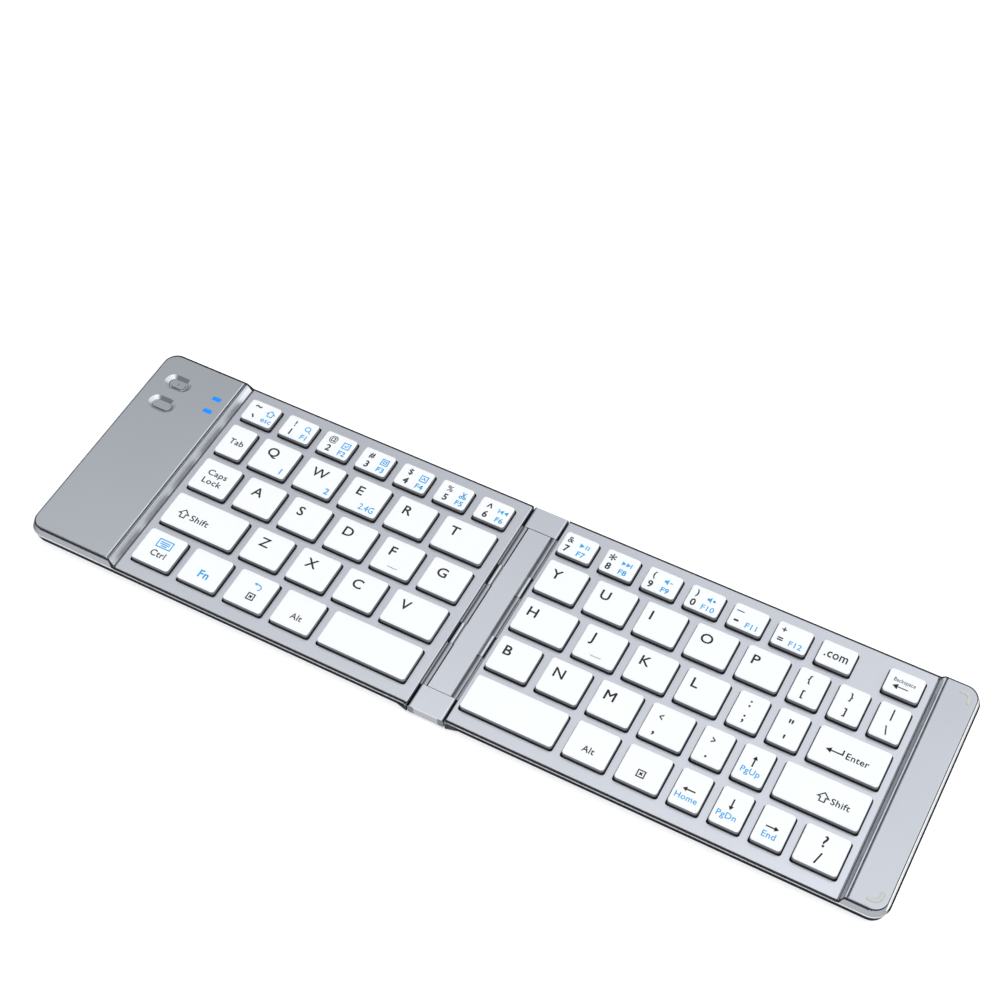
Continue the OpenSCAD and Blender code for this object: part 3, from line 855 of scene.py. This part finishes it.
GROUP_LEGENDS: dict[str, list[Legend]] = {
    "left_space": [()],
    "right_space": [()],
    "left_number_keys": [
        (
            Sign(SignShape.TILDE, LEFT_PRINT.number_x - 0.1, 2.2, 2.2, line=0.5),
            Sign(SignShape.GRAVE, LEFT_PRINT.number_x, -2.0, 2.2, line=0.55),
            *LEFT_PRINT.function_marks(SignShape.HOUSE, "esc"),
        ),
        *LEFT_PRINT.number_keys("!@#$%^", "123456", 1, LEFT_SIGNS),
    ],
    "right_number_keys": [
        *RIGHT_PRINT.number_keys("&*()_+", "7890-=", 7, RIGHT_SIGNS),
        (Word(".com", -0.1, -0.3, 3.5, stretch=0.82),),
        (
            Word("Backspace", -0.05, 0.65, 1.5, stretch=0.8),
            Sign(SignShape.LEFT, -0.75, -1.5, 5.0, line=0.36),
        ),
    ],
    "left_command_keys": [
        (Word("Tab", 0.4, -0.2, 2.4, stretch=1.04),),
        (Word("Caps", 0.2, 1.2, 2.4, stretch=1.08), Word("Lock", 0.05, -2.0, 2.4, stretch=1.08)),
        (Sign(SignShape.SHIFT, -7.3, -0.85, 3.4), Word("Shift", -1.2, -1.05, 2.4, stretch=1.12)),
        (Sign(SignShape.KEYBOARD, 0.55, 2.2, 5.0, Ink.BLUE, 0.42), Word("Ctrl", 0.6, -1.85, 2.5)),
        (Word("Fn", 0.7, -1.8, 3.1, Ink.BLUE),),
        (Sign(SignShape.TURN_BACK, 1.1, 2.0, 3.3, Ink.BLUE), Sign(SignShape.BOX_MARK, 0.95, -2.0, 2.7)),
        (Word("Alt", 0.55, -2.0, 2.35),),
    ],
    "right_command_keys": [
        pair_legend("{", "[", -0.8),
        pair_legend("}", "]", -0.3),
        pair_legend("|", "\\", -0.15, 3.4),
        pair_legend(":", ";", -0.4, 3.7),
        pair_legend("\"", "'", -0.2, 4.0),
        (Sign(SignShape.ENTER, -4.4, -0.9, 5.1, line=0.48), Word("Enter", 2.8, -0.65, 2.45)),
        (Word("<", -2.8, 2.15, 3.0, stretch=0.62), Word(",", -2.85, -4.0, 4.0)),
        (Word(">", -0.85, 2.15, 3.0, stretch=0.62), Word(".", -0.8, -3.9, 4.0)),
        (Sign(SignShape.UP, -0.3, 1.1, 3.9, line=0.5), Word("PgUp", -0.05, -2.8, 2.2, Ink.BLUE)),
        (Sign(SignShape.SHIFT, 0.5, -0.5, 3.4), Word("Shift", 5.9, -0.55, 2.3, stretch=1.04)),
        (Word("Alt", 0, -2.0, 2.35),),
        (Sign(SignShape.BOX_MARK, 0, -2.0, 2.7),),
        (Sign(SignShape.LEFT, -0.35, -0.3, 4.1, line=0.5), Word("Home", -0.15, -2.95, 2.15, Ink.BLUE)),
        (Sign(SignShape.DOWN, -0.3, 1.15, 3.9, line=0.5), Word("PgDn", -0.5, -3.05, 2.2, Ink.BLUE)),
        (Sign(SignShape.RIGHT, -0.05, -0.35, 4.1, line=0.5), Word("End", -0.15, -2.95, 2.25, Ink.BLUE)),
        pair_legend("?", "/", 0.0, 4.1),
    ],
}


# Printing --------------------------------------------------------------------

# height of a capital in Blender's own font, whose letters are set at size 1
CAPITAL_HEIGHT = 0.729
LETTER_SPACE = 1.06
# where a sharp corner's mitre stops growing: the least cosine of half its turn for a drawn line,
# and the least of 1 plus the cosine of its turn for a letter's outline
LINE_MITRE = 0.4
OUTLINE_MITRE = 0.5


def print_face(mesh: BMesh, verts: Sequence[BMVert], ink: Ink) -> None:
    """Adds a flat face of ink that looks up.

    Args:
        mesh: Bmesh that takes the face.
        verts: Corners of the face, in either direction.
        ink: The ink.
    """
    face = mesh.faces.new(verts)
    face.normal_update()
    if face.normal.z < 0:
        face.normal_flip()
    face.material_index = ink.value


def print_stroke(mesh: BMesh, stroke: Stroke, line: float, to_key: Matrix, ink: Ink) -> None:
    """Draws one stroke as flat faces.

    Args:
        mesh: Bmesh that takes the faces.
        stroke: The stroke.
        line: Width of the line in unit coordinates.
        to_key: Matrix from unit coordinates to metres on the key top.
        ink: The ink.
    """
    points = stroke.points
    if stroke.filled:
        print_face(mesh, [mesh.verts.new(to_key @ Vector((x, y, 0))) for x, y in points], ink)
        return
    closed = points[0] == points[-1] and len(points) > 3
    path = [Vector(p) for p in (points[:-1] if closed else points)]
    count = len(path)
    sides = []
    for i, point in enumerate(path):
        before = path[i - 1] if i or closed else point - (path[1] - point)
        after = path[(i + 1) % count] if i < count - 1 or closed else point + (point - path[i - 1])
        a, b = (point - before).normalized(), (after - point).normalized()
        normal = Vector((-a.y - b.y, a.x + b.x)).normalized()
        reach = line / 2 / max(LINE_MITRE, normal.dot(Vector((-a.y, a.x))))
        sides.append([mesh.verts.new(to_key @ (point + s * reach * normal).to_3d()) for s in (1, -1)])
    for (l0, r0), (l1, r1) in zip(sides, sides[1:] + (sides[:1] if closed else [])):
        print_face(mesh, (l0, r0, r1, l1), ink)


def grow_outlines(data: bpy.types.Mesh, growth: float) -> None:
    """Moves the edges of flat letters outwards, for a bolder stroke.

    Args:
        data: Flat mesh of the letters.
        growth: How far each outline moves.
    """
    mesh = bmesh.new()
    mesh.from_mesh(data)
    outward: dict[BMVert, list[Vector]] = {}
    for edge in mesh.edges:
        if len(edge.link_faces) != 1:
            continue
        start, end = (vert.co for vert in edge.verts)
        way = Vector((end.y - start.y, start.x - end.x, 0)).normalized()
        if way.dot(edge.link_faces[0].calc_center_median() - start) > 0:
            way.negate()
        for vert in edge.verts:
            outward.setdefault(vert, []).append(way)
    for vert, ways in outward.items():
        if len(ways) == 2:
            vert.co += (ways[0] + ways[1]) * growth / max(1 + ways[0].dot(ways[1]), OUTLINE_MITRE)
    mesh.to_mesh(data)
    mesh.free()


def letter_growth(word: Word) -> float:
    """How far a word's outlines grow, at size 1, to print as bold as the photographed keys.

    Args:
        word: The word.

    Returns:
        The growth: least where small eyes and thin gaps would close up.
    """
    large_size, tiny_size, crowded = 3.2, 1.8, "$%@&*"
    if word.size < tiny_size or any(letter in crowded for letter in word.text):
        return 0.012
    return 0.016 if word.size > large_size or len(word.text) > 2 else 0.028


def text_mesh(text: str, growth: float) -> bpy.types.Mesh:
    """Flat mesh of a text in Blender's own font, set at size 1 from its baseline's left end.

    Args:
        text: The text to set.
        growth: How far each outline grows, for a bolder stroke.

    Returns:
        The mesh, to be removed by the caller.
    """
    curve = bpy.data.curves.new("legend", "FONT")
    curve.body = text
    curve.resolution_u = 3
    curve.space_character = LETTER_SPACE
    helper = bpy.data.objects.new("legend", curve)
    bpy.context.scene.collection.objects.link(helper)
    bpy.context.view_layer.update()
    graph = bpy.context.evaluated_depsgraph_get()
    data = bpy.data.meshes.new_from_object(helper.evaluated_get(graph))
    bpy.data.objects.remove(helper)
    bpy.data.curves.remove(curve)
    grow_outlines(data, growth)
    return data


def print_word(mesh: BMesh, word: Word, width: float, to_top: Matrix) -> None:
    """Sets a word on a key top.

    Args:
        mesh: Bmesh that takes the faces.
        word: The word, its place and its size.
        width: Width of the key top in mm.
        to_top: Matrix from mm on the key top to metres.
    """
    growth = letter_growth(word)
    data = text_mesh(word.text, growth)
    low, high = (Vector([end(v.co[i] for v in data.vertices) for i in range(2)]) for end in (min, max))
    scale_y = word.size / (CAPITAL_HEIGHT + 2 * growth)
    scale_x = scale_y * word.stretch
    middle = word.x
    if word.anchor is Anchor.LEFT:
        middle = word.x - width / 2 + (high.x - low.x) / 2 * scale_x
    centre = (low + high) / 2
    verts = []
    for vert in data.vertices:
        x = middle + (vert.co.x - centre.x) * scale_x
        y = word.y + (vert.co.y - centre.y) * scale_y
        verts.append(mesh.verts.new(to_top @ Vector((x, y, 0))))
    for polygon in data.polygons:
        print_face(mesh, [verts[i] for i in polygon.vertices], word.ink)
    bpy.data.meshes.remove(data)


# Sub-assemblies --------------------------------------------------------------


@dataclass
class KeyCaps:
    """The caps of one key node, with their printing. Lengths are in mm."""

    node: str
    legends: list[Legend]
    flange: float = 0.35
    flange_t: float = 0.4
    shoulder: float = 0.02
    taper: float = 0.3
    skirt_r: float = 1.3
    least_r: float = 0.35
    edge_r: float = 0.32
    edge_steps: int = 4
    # the skirt is grey from the rounded edge down to this depth below the top, black below: painted shade
    # and painted shadow
    grey_below: float = 1.35
    wall: float = 0.8
    top_t: float = 1.0
    plunger_r: float = 1.6
    plunger_gap: float = 0.8
    plunger_sides: int = 20
    print_lift: float = 0.012
    ridge: bool = False
    ridge_at: Point = (0.3, -4.0)
    ridge_l: float = 3.55
    ridge_w: float = 0.5
    ridge_h: float = 0.28
    # shares of the ridge's width and height, from its foot, sunk into the cap, to its top
    ridge_section: Section = ((1.0, -0.02), (0.95, 0.5), (0.7, 0.85), (0.35, 1.0))

    def rings(self, height: float) -> list[tuple[float, float, int]]:
        """Section of the cap, from the hollow's ceiling round the rim to the top.

        Args:
            height: Height of the cap.

        Returns:
            Inset from the skirt, height above the skirt's foot, and the finish of the band
            that ends there: 0 for the white top, 1 for the skirt's grey, painted shade, and 2 for the
            foot's black, painted shadow.
        """
        inner = self.wall + self.taper / 2
        shade = height - self.grey_below
        lip = height - self.edge_r
        lip_inset = self.taper * lip / height
        rings = [
            (inner, height - self.top_t, 2),
            (inner, 0.0, 2),
            (-self.flange, 0.0, 2),
            (-self.flange, self.flange_t, 2),
            (self.shoulder, self.flange_t, 2),
            (self.taper * shade / height, shade, 2),
            (lip_inset, lip, 1),
        ]
        for i in range(1, self.edge_steps + 1):
            angle = math.radians(90 * i / self.edge_steps)
            inset = lip_inset + self.edge_r * (1 - math.cos(angle))
            rings.append((inset, lip + self.edge_r * math.sin(angle), 0))
        return rings

    def add_cap(self, mesh: BMesh, low: Vector, high: Vector) -> Vector:
        """Adds one cap to the mesh.

        Args:
            mesh: Bmesh in metres.
            low: Lowest corner of the cap's CAD box.
            high: Highest corner of the cap's CAD box.

        Returns:
            The centre of the cap's top.
        """
        width, depth, height = (high - low) / MM
        width, depth = width - 2 * self.flange, depth - 2 * self.flange
        middle = (low + high) / 2
        foot = Vector((middle.x, middle.y, low.z))
        rings = self.rings(height)
        loops = []
        for inset, z, _ in rings:
            radius = max(self.least_r, self.skirt_r - inset)
            outline = rounded_ring(width - 2 * inset, depth - 2 * inset, radius)
            loops.append(add_ring(mesh, foot, outline, z))
        skin(mesh, loops, [slot for _, _, slot in rings[1:]])
        mesh.faces.new(loops[-1])
        mesh.faces.new(list(reversed(loops[0]))).material_index = 2
        self.add_plunger(mesh, foot, height)
        return Vector((middle.x, middle.y, high.z))

    def add_plunger(self, mesh: BMesh, foot: Vector, height: float) -> None:
        """Adds the stub under the cap that meets the dome.

        Args:
            mesh: Bmesh in metres.
            foot: Centre of the skirt's foot, in metres.
            height: Height of the cap in mm.
        """
        angles = [math.tau * i / self.plunger_sides for i in range(self.plunger_sides)]
        circle = [(self.plunger_r * math.cos(a), self.plunger_r * math.sin(a)) for a in angles]
        ends = [add_ring(mesh, foot, circle, z) for z in (self.plunger_gap, height - self.top_t)]
        skin(mesh, ends, [2], smooth=False)
        mesh.faces.new(list(reversed(ends[0]))).material_index = 2

    def add_ridge(self, mesh: BMesh, top: Vector) -> None:
        """Adds the low rounded bar that a finger finds the home row by, its flanks grey in painted shade.

        Args:
            mesh: Bmesh in metres.
            top: Centre of the cap's top.
        """
        at = top + Vector((*self.ridge_at, 0)) * MM
        loops = []
        for share, z in self.ridge_section:
            width = self.ridge_w * share
            outline = rounded_ring(self.ridge_l - self.ridge_w + width, width, width * ROUND_END, 4)
            loops.append(add_ring(mesh, at, outline, z * self.ridge_h))
        # the two lower bands take the skirt's grey: painted shade on the ridge's flanks
        skin(mesh, loops, [1, 1, 0])
        mesh.faces.new(loops[-1]).smooth = True

    def print_mark(self, mesh: BMesh, mark: Mark, width: float, to_top: Matrix) -> None:
        """Prints one mark.

        Args:
            mesh: Bmesh that takes the faces.
            mark: The word or sign.
            width: Width of the key top in mm.
            to_top: Matrix from mm on the key top to metres.
        """
        if isinstance(mark, Word):
            print_word(mesh, mark, width, to_top)
            return
        scale = Matrix.Diagonal((mark.size, mark.size, 1, 1))
        place = to_top @ Matrix.Translation((mark.x, mark.y, 0)) @ scale
        for stroke in mark.shape.value:
            print_stroke(mesh, stroke, mark.line / mark.size, place, mark.ink)

    def build(self) -> Iterator[Piece]:
        """Builds the caps and their printing, and yields both."""
        caps, prints = bmesh.new(), bmesh.new()
        for (low, high), legend in zip(islands(self.node), self.legends, strict=True):
            top = self.add_cap(caps, low, high)
            if self.ridge:
                self.add_ridge(caps, top)
            width = (high.x - low.x) / MM - 2 * (self.flange + self.taper)
            lifted = Matrix.Translation(top + Vector((0, 0, self.print_lift * MM)))
            for mark in legend:
                self.print_mark(prints, mark, width, lifted @ Matrix.Diagonal((MM, MM, MM, 1)))
        cap = add_piece(f"caps_{self.node}", caps, self.node)
        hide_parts(self.node)
        dress(cap, Finish.CAP, Finish.SKIRT_SHADE, Finish.CAP_FOOT_SHADOW)
        yield cap
        if prints.faces:
            printing = add_piece(f"print_{self.node}", prints, self.node)
            dress(printing, Finish.BLACK_INK, Finish.BLUE_INK)
            yield printing
        else:
            prints.free()


@dataclass
class CadParts:
    """CAD nodes that keep their shape and take a finish."""

    finishes: dict[str, Finish]
    prefix: str = ""

    def build(self) -> Iterator[Piece]:
        """Gives the nodes their finishes, and yields them."""
        for name, finish in self.finishes.items():
            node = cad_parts[f"{self.prefix}{name}"]
            dress(node, finish)
            yield node


HALF_FINISHES = {
    "bottom_plate": Finish.UNDERSIDE,
    "frame": Finish.FRAME,
    "deck_plate": Finish.DECK,
    "end_cover": Finish.PLATE,
    "board": Finish.BOARD,
    "key_domes": Finish.DOMES,
    "feet": Finish.FOOT,
    "screws": Finish.STEEL,
    "magnets": Finish.STEEL,
}
SMALL_FINISHES = {
    "right_end_bumpers": Finish.PAD,
    "battery": Finish.BATTERY,
    "charge_port": Finish.STEEL,
    "status_lights": Finish.LIGHT,
    "power_button": Finish.BUTTON,
    "connect_button": Finish.BUTTON,
    "spine_body": Finish.SPINE,
    "spine_panel": Finish.SPINE,
    "hinge_pins": Finish.STEEL,
    "flex_cable": Finish.FLEX,
}


@dataclass(frozen=True)
class Station:
    """A place on a half's outline: a point, its outward normal and the seam's section there, in mm."""

    x: float
    y: float
    nx: float
    ny: float
    section: Section


@dataclass(frozen=True)
class HalfSizes:
    """Where a half's parts end, in mm from the fold, the middle line and the table."""

    inner_x: float
    deck_x: float
    outer_x: float
    half_d: float
    deck_z: float
    end_z: float


@dataclass
class SeamShadow:
    """Black strips of painted shadow in the open seams between a half's frame and its plates, and
    at the foot and in the groove of its slope.

    Lengths are in mm, distances run inward from the frame's outermost edge, and heights are
    taken from the frame's ledge in the seam. The seam gapes most along the front. Places on
    the slope are given for a slope of full run.
    """

    side: str
    slope_run: float
    back_share: float
    back_lift: float
    full_run: float = 3.3
    slope_start: float = 0.3
    slope_foot: float = 0.7
    slope_head: float = 2.0
    groove_start: float = 2.6
    groove_end: float = 2.9
    groove_depth: float = 0.14
    groove_stop: float = 1.6
    foot_seam: float = 0.45
    foot_stop: float = 1.0
    corner_r: float = 5.5
    corner_steps: int = 8
    deck_lip: float = 0.08
    deck_inset: float = 0.78
    deck_ledge: float = 0.2
    cover_ledge: float = 0.3
    gap_start: float = 1.12
    gap_end: float = 1.28
    cover_lip: float = 0.84
    cover_inset: float = 1.36
    lift: float = 0.06
    # thickness of the dark strip's rim, part of the painted seam shadow
    bead: float = 0.02
    overhang: float = 0.13
    drop: float = 0.3

    def sizes(self) -> HalfSizes:
        """Returns where this half's parts end."""
        frame_low, frame_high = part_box(f"{self.side}_frame")
        deck_low, deck_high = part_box(f"{self.side}_deck_plate")
        deck_ends = abs(deck_low[0]) / MM, abs(deck_high[0]) / MM
        return HalfSizes(
            inner_x=min(deck_ends),
            deck_x=max(deck_ends),
            outer_x=max(abs(frame_low[0]), abs(frame_high[0])) / MM,
            half_d=frame_high[1] / MM,
            deck_z=deck_high[2] / MM,
            end_z=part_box(f"{self.side}_end_cover")[1][2] / MM,
        )

    def deck_section(self, ledge: float, front: bool) -> Section:
        """Section of the seam along the deck plate.

        Args:
            ledge: Height of the ledge.
            front: Whether it is the front edge, where the dark strip hangs over the lip.

        Returns:
            Distances and heights, from the plate outward.
        """
        inside = (self.deck_inset, ledge + self.lift + self.bead)
        lip = (self.deck_lip + self.lift, ledge + self.lift)
        if front:
            hang = (self.deck_lip - self.overhang / 2, ledge - self.overhang)
            return inside, lip, (self.deck_lip, ledge), hang
        outside = self.deck_lip + self.bead
        return inside, lip, (outside, ledge), (outside, ledge - self.bead)

    def cover_section(self, ledge: float, spread: float, hang: float) -> Section:
        """Section of the seam along the end cover.

        Args:
            ledge: Height of the wall's top.
            spread: How far the dark strip spreads from the narrow gap to its full width, 0 to 1.
            hang: How far it hangs over the wall, 0 to 1.

        Returns:
            Distances and heights, from the cover outward.
        """
        inner = self.gap_end + (self.cover_inset - self.gap_end) * spread
        outer = self.gap_start + (self.cover_lip - self.gap_start) * spread
        fall = self.drop * hang
        edge = ledge + self.bead * (1 - hang)
        return (
            (inner, ledge + self.lift + self.bead),
            (outer + self.bead, ledge + self.lift),
            (outer, edge),
            (outer - fall / 3, edge - fall - self.bead),
        )

    def stations(self, sizes: HalfSizes) -> list[Station]:
        """Places round the half, from the inner end of its front edge to that of its back edge.

        Args:
            sizes: Where the half's parts end.

        Returns:
            The stations in order.
        """
        scale = self.slope_run / self.full_run
        ledge = sizes.deck_z - self.deck_ledge
        end_ledge = sizes.end_z - self.cover_ledge
        start = sizes.deck_x + self.slope_start * scale
        head = sizes.deck_x + self.slope_head * scale
        front_cover = self.cover_section(end_ledge, 1, 1)
        back_cover = self.cover_section(end_ledge + self.back_lift, self.back_share, 0)
        straights = []
        for way, deck, cover in (
            (-1, self.deck_section(ledge, True), front_cover),
            (1, self.deck_section(ledge, False), back_cover),
        ):
            places = ((sizes.inner_x, deck), (start, deck), (head, cover))
            straights.append([Station(x, way * sizes.half_d, 0, way, section) for x, section in places])
        corner_x, corner_y = sizes.outer_x - self.corner_r, sizes.half_d - self.corner_r
        corners = []
        for i in range(2 * self.corner_steps + 2):
            second = i > self.corner_steps
            angle = math.radians(-90 + 90 * (i - second) / self.corner_steps)
            c, s = math.cos(angle), math.sin(angle)
            front, back = max(0.0, -s), max(0.0, s)
            spread = front + self.back_share * back
            section = self.cover_section(end_ledge + self.back_lift * back, spread, front)
            x = corner_x + self.corner_r * c
            y = (corner_y if second else -corner_y) + self.corner_r * s
            corners.append(Station(x, y, c, s, section))
        return [*straights[0], *corners, *reversed(straights[1])]

    def cross_strips(self, sizes: HalfSizes) -> list[tuple[float, float, float, float]]:
        """Black strips of painted shadow at the slope's foot and in the groove.

        Args:
            sizes: Where the half's parts end.

        Returns:
            Inner x, outer x, height and half depth of each.
        """
        scale = self.slope_run / self.full_run
        foot = sizes.deck_x + self.slope_foot * scale
        groove = (sizes.deck_x + edge * scale for edge in (self.groove_start, self.groove_end))
        return [
            (foot - self.foot_seam, foot, sizes.deck_z - self.deck_ledge, sizes.half_d - self.foot_stop),
            (*groove, sizes.end_z - self.groove_depth, sizes.half_d - self.groove_stop),
        ]

    def build(self) -> Iterator[Piece]:
        """Builds and yields the half's black seam line of painted shadow, round its plates and across its
        slope.
        """
        sign = -1 if self.side == "left" else 1
        sizes = self.sizes()
        grids = [
            [
                [(sign * (at.x - at.nx * d), at.y - at.ny * d, z) for d, z in at.section]
                for at in self.stations(sizes)
            ]
        ]
        for inner, outer, z, depth in self.cross_strips(sizes):
            grids.append([[(sign * x, y, z) for x in (inner, outer)] for y in (-depth, depth)])
        mesh = bmesh.new()
        for grid in grids:
            rows = [[mesh.verts.new((x * MM, y * MM, z * MM)) for x, y, z in row] for row in grid]
            for before, after in zip(rows, rows[1:]):
                for j in range(len(before) - 1):
                    mesh.faces.new((before[j], after[j], after[j + 1], before[j + 1]))
        bmesh.ops.recalc_face_normals(mesh, faces=mesh.faces)
        seam = add_piece(f"{self.side}_seam_shadow", mesh, f"{self.side}_half")
        dress(seam, Finish.PAINTED_SHADOW)
        yield seam


@dataclass
class ButtonGap:
    """Painted shadow of the gap round a button: a thin black ring on the floor of its dished well. Lengths
    are in mm.
    """

    button: str
    mark: bool = False
    proud: float = 0.35
    gap: float = 0.24
    round_slack: float = 0.01
    lift: float = 0.015
    mark_l: float = 0.9
    mark_w: float = 0.22

    def build(self) -> Iterator[Piece]:
        """Builds and yields the ring, and on a button that has one, a short black line: painted shade of
        its engraved line.
        """
        low, high = (Vector(corner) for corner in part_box(self.button))
        width, depth, _ = (high - low) / MM
        top = Vector(((low.x + high.x) / 2, (low.y + high.y) / 2, high.z))
        mesh = bmesh.new()
        loops = []
        for grow in (self.gap, 0.0):
            radius = depth / 2 + grow - self.round_slack
            outline = rounded_ring(width + 2 * grow, depth + 2 * grow, radius, 8)
            loops.append(add_ring(mesh, top, outline, self.lift - self.proud))
        skin(mesh, loops, [0], smooth=False)
        ring = add_piece(f"{self.button}_gap", mesh, "left_half")
        dress(ring, Finish.PAINTED_SHADOW)
        yield ring
        if self.mark:
            engraved = bmesh.new()
            line = rounded_ring(self.mark_w, self.mark_l, self.mark_w * ROUND_END, 4)
            engraved.faces.new(add_ring(engraved, top, line, self.lift))
            slot = add_piece(f"{self.button}_mark", engraved, self.button)
            dress(slot, Finish.PAINTED_SHADOW)
            yield slot


# Studio ----------------------------------------------------------------------


@dataclass
class Studio:
    """White floor, soft overhead light and the camera. Lengths are in metres."""

    camera_at: Vector = field(default_factory=lambda: Vector((0.16105, -0.29842, 0.50902)))
    right: Vector = field(default_factory=lambda: Vector((0.8845, 0.4666, -0.0008)))
    down: Vector = field(default_factory=lambda: Vector((0.3715, -0.7053, -0.6037)))
    lens_mm: float = 70.523
    sensor_mm: float = 36.0
    clip_start: float = 0.01
    floor_side: float = 40.0
    floor_colour: str = "f2f2f2"
    floor_glow: float = 0.42
    sky_colour: tuple[float, float, float, float] = (0.96, 0.98, 1.0, 1.0)
    sky_slope: tuple[float, float, float] = (4.3, -6.6, 0.0)
    sky_level: float = 4.16
    sky_darkest: float = 0.24
    sky_brightest: float = 1.42
    sky_from: float = 0.12
    sky_full: float = 0.7
    horizon: float = 0.56
    horizon_right: float = 1.4
    reflector_start: float = 0.25
    reflector_full: float = 0.8
    card_way: Vector = field(default_factory=lambda: Vector((-0.443, -0.596, 0.66)).normalized())
    card_inside: float = 0.93
    card_outside: float = 0.86
    card_level: float = 0.06
    lamp_at: Vector = field(default_factory=lambda: Vector((0.1, -0.5, 1.0)))
    lamp_side: float = 0.9
    lamp_watts: float = 1.5

    def add_camera(self) -> None:
        """Places the camera at the photograph's view."""
        data = bpy.data.cameras.new("camera")
        data.sensor_width = self.sensor_mm
        data.lens = self.lens_mm
        data.clip_start = self.clip_start
        camera = bpy.data.objects.new("camera", data)
        up = -self.down
        turn = Matrix((self.right, up, self.right.cross(up))).transposed().to_4x4()
        camera.matrix_world = Matrix.Translation(self.camera_at) @ turn
        bpy.context.scene.collection.objects.link(camera)
        bpy.context.scene.camera = camera

    def add_floor(self) -> None:
        """Lays a white floor that the camera sees as white, with the keyboard's soft shadow."""
        mesh = bmesh.new()
        bmesh.ops.create_grid(mesh, x_segments=1, y_segments=1, size=self.floor_side / 2)
        data = bpy.data.meshes.new("floor")
        mesh.to_mesh(data)
        mesh.free()
        floor = bpy.data.objects.new("floor", data)
        bpy.context.scene.collection.objects.link(floor)
        material, tree = new_material("white_floor")
        paper = add_node(tree, "BsdfDiffuse", inputs={"Color": linear(self.floor_colour)})[0]
        rays = add_node(tree, "LightPath")
        seen = rays["Is Camera Ray"]
        for ray in ("Is Glossy Ray", "Is Transmission Ray"):
            seen = add_node(tree, "Math", {"operation": "MAXIMUM"}, {0: seen, 1: rays[ray]})[0]
        glow = add_node(tree, "Emission", inputs={"Strength": self.floor_glow})[0]
        nothing = add_node(tree, "Emission", inputs={"Strength": 0.0})[0]
        lift = add_node(tree, "MixShader", inputs={0: seen, 1: nothing, 2: glow})[0]
        both = add_node(tree, "AddShader", inputs={0: paper, 1: lift})[0]
        add_node(tree, "OutputMaterial", inputs={"Surface": both})
        floor.data.materials.append(material)

    def add_world(self) -> None:
        """Surrounds the scene with a soft sky, bright over the front right and dim over the back left."""
        world = bpy.data.worlds.new("studio")
        world.use_nodes = True
        tree = world.node_tree
        tree.nodes.clear()
        way = add_node(tree, "TexCoord")["Generated"]
        axes = add_node(tree, "SeparateXYZ", inputs={0: way})
        product, smooth = {"operation": "DOT_PRODUCT"}, {"interpolation_type": "SMOOTHSTEP"}
        # a large softbox hangs over the front right: its light falls off towards the back left
        slope = add_node(tree, "VectorMath", product, {0: way, 1: self.sky_slope})["Value"]
        lifted = add_node(tree, "Math", {"operation": "ADD"}, {0: slope, 1: self.sky_level})[0]
        fall = add_node(tree, "Math", {"operation": "EXPONENT"}, {0: lifted})[0]
        limits = {"Value": fall, "Min": self.sky_darkest, "Max": self.sky_brightest}
        overhead = add_node(tree, "Clamp", inputs=limits)[0]
        # a reflector stands low on the right
        span = {"From Min": self.reflector_start, "From Max": self.reflector_full}
        levels = {"To Min": self.horizon, "To Max": self.horizon_right}
        low = add_node(tree, "MapRange", smooth, {"Value": axes[0], **span, **levels})[0]
        span = {"From Min": self.sky_from, "From Max": self.sky_full}
        above = add_node(tree, "MapRange", smooth, {"Value": axes[2], **span})[0]
        sky = add_node(tree, "Mix", {"data_type": "FLOAT"}, {0: above, 2: low, 3: overhead})[0]
        # a black card at the front left darkens the wells' back slopes
        towards = add_node(tree, "VectorMath", product, {0: way, 1: self.card_way})["Value"]
        span = {"From Min": self.card_outside, "From Max": self.card_inside}
        card = add_node(tree, "MapRange", smooth, {"Value": towards, **span})[0]
        strength = add_node(tree, "Mix", {"data_type": "FLOAT"}, {0: card, 2: sky, 3: self.card_level})[0]
        light = add_node(tree, "Background", inputs={"Color": self.sky_colour, "Strength": strength})[0]
        add_node(tree, "OutputWorld", inputs={"Surface": light})
        bpy.context.scene.world = world

    def add_lamp(self) -> None:
        """Hangs a soft square lamp over the front, pointed at the keyboard's middle."""
        data = bpy.data.lights.new("front_softbox", "AREA")
        data.shape = "SQUARE"
        data.size = self.lamp_side
        data.energy = self.lamp_watts
        lamp = bpy.data.objects.new("front_softbox", data)
        turn = self.lamp_at.to_track_quat("Z", "Y").to_matrix().to_4x4()
        lamp.matrix_world = Matrix.Translation(self.lamp_at) @ turn
        bpy.context.scene.collection.objects.link(lamp)

    def build(self) -> None:
        """Sets the plain view transform, camera, floor, world and lamp."""
        bpy.context.scene.view_settings.view_transform = "Standard"
        self.add_camera()
        self.add_floor()
        self.add_world()
        self.add_lamp()


def key_caps() -> Iterator[KeyCaps]:
    """Yields the caps of the 26 letter keys, then those of the keys that move as a group."""
    for letter in "ABCDEFGHIJKLMNOPQRSTUVWXYZ":
        half = LEFT_PRINT if letter in LEFT_LETTERS else RIGHT_PRINT
        yield KeyCaps(f"key_{letter.lower()}", [half.letter_key(letter)], ridge=letter in "FJ")
    for node, legends in GROUP_LEGENDS.items():
        yield KeyCaps(node, legends)


def main() -> None:
    """Builds and dresses the keyboard and its studio, and reports each piece."""
    logging.basicConfig(level=logging.INFO, format="%(name)s: %(message)s")
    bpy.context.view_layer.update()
    parts = [
        CadParts(HALF_FINISHES, "left_"),
        CadParts(HALF_FINISHES, "right_"),
        SeamShadow("left", slope_run=3.3, back_share=1.0, back_lift=0.2),
        SeamShadow("right", slope_run=2.7, back_share=0.3, back_lift=0.05),
        ButtonGap("power_button", mark=True),
        ButtonGap("connect_button"),
        CadParts(SMALL_FINISHES),
        *key_caps(),
    ]
    for part in parts:
        for piece in part.build():
            LOG.info("%s: %s", type(part).__name__, piece.name)
    Studio().build()


if __name__ == "__main__":
    main()
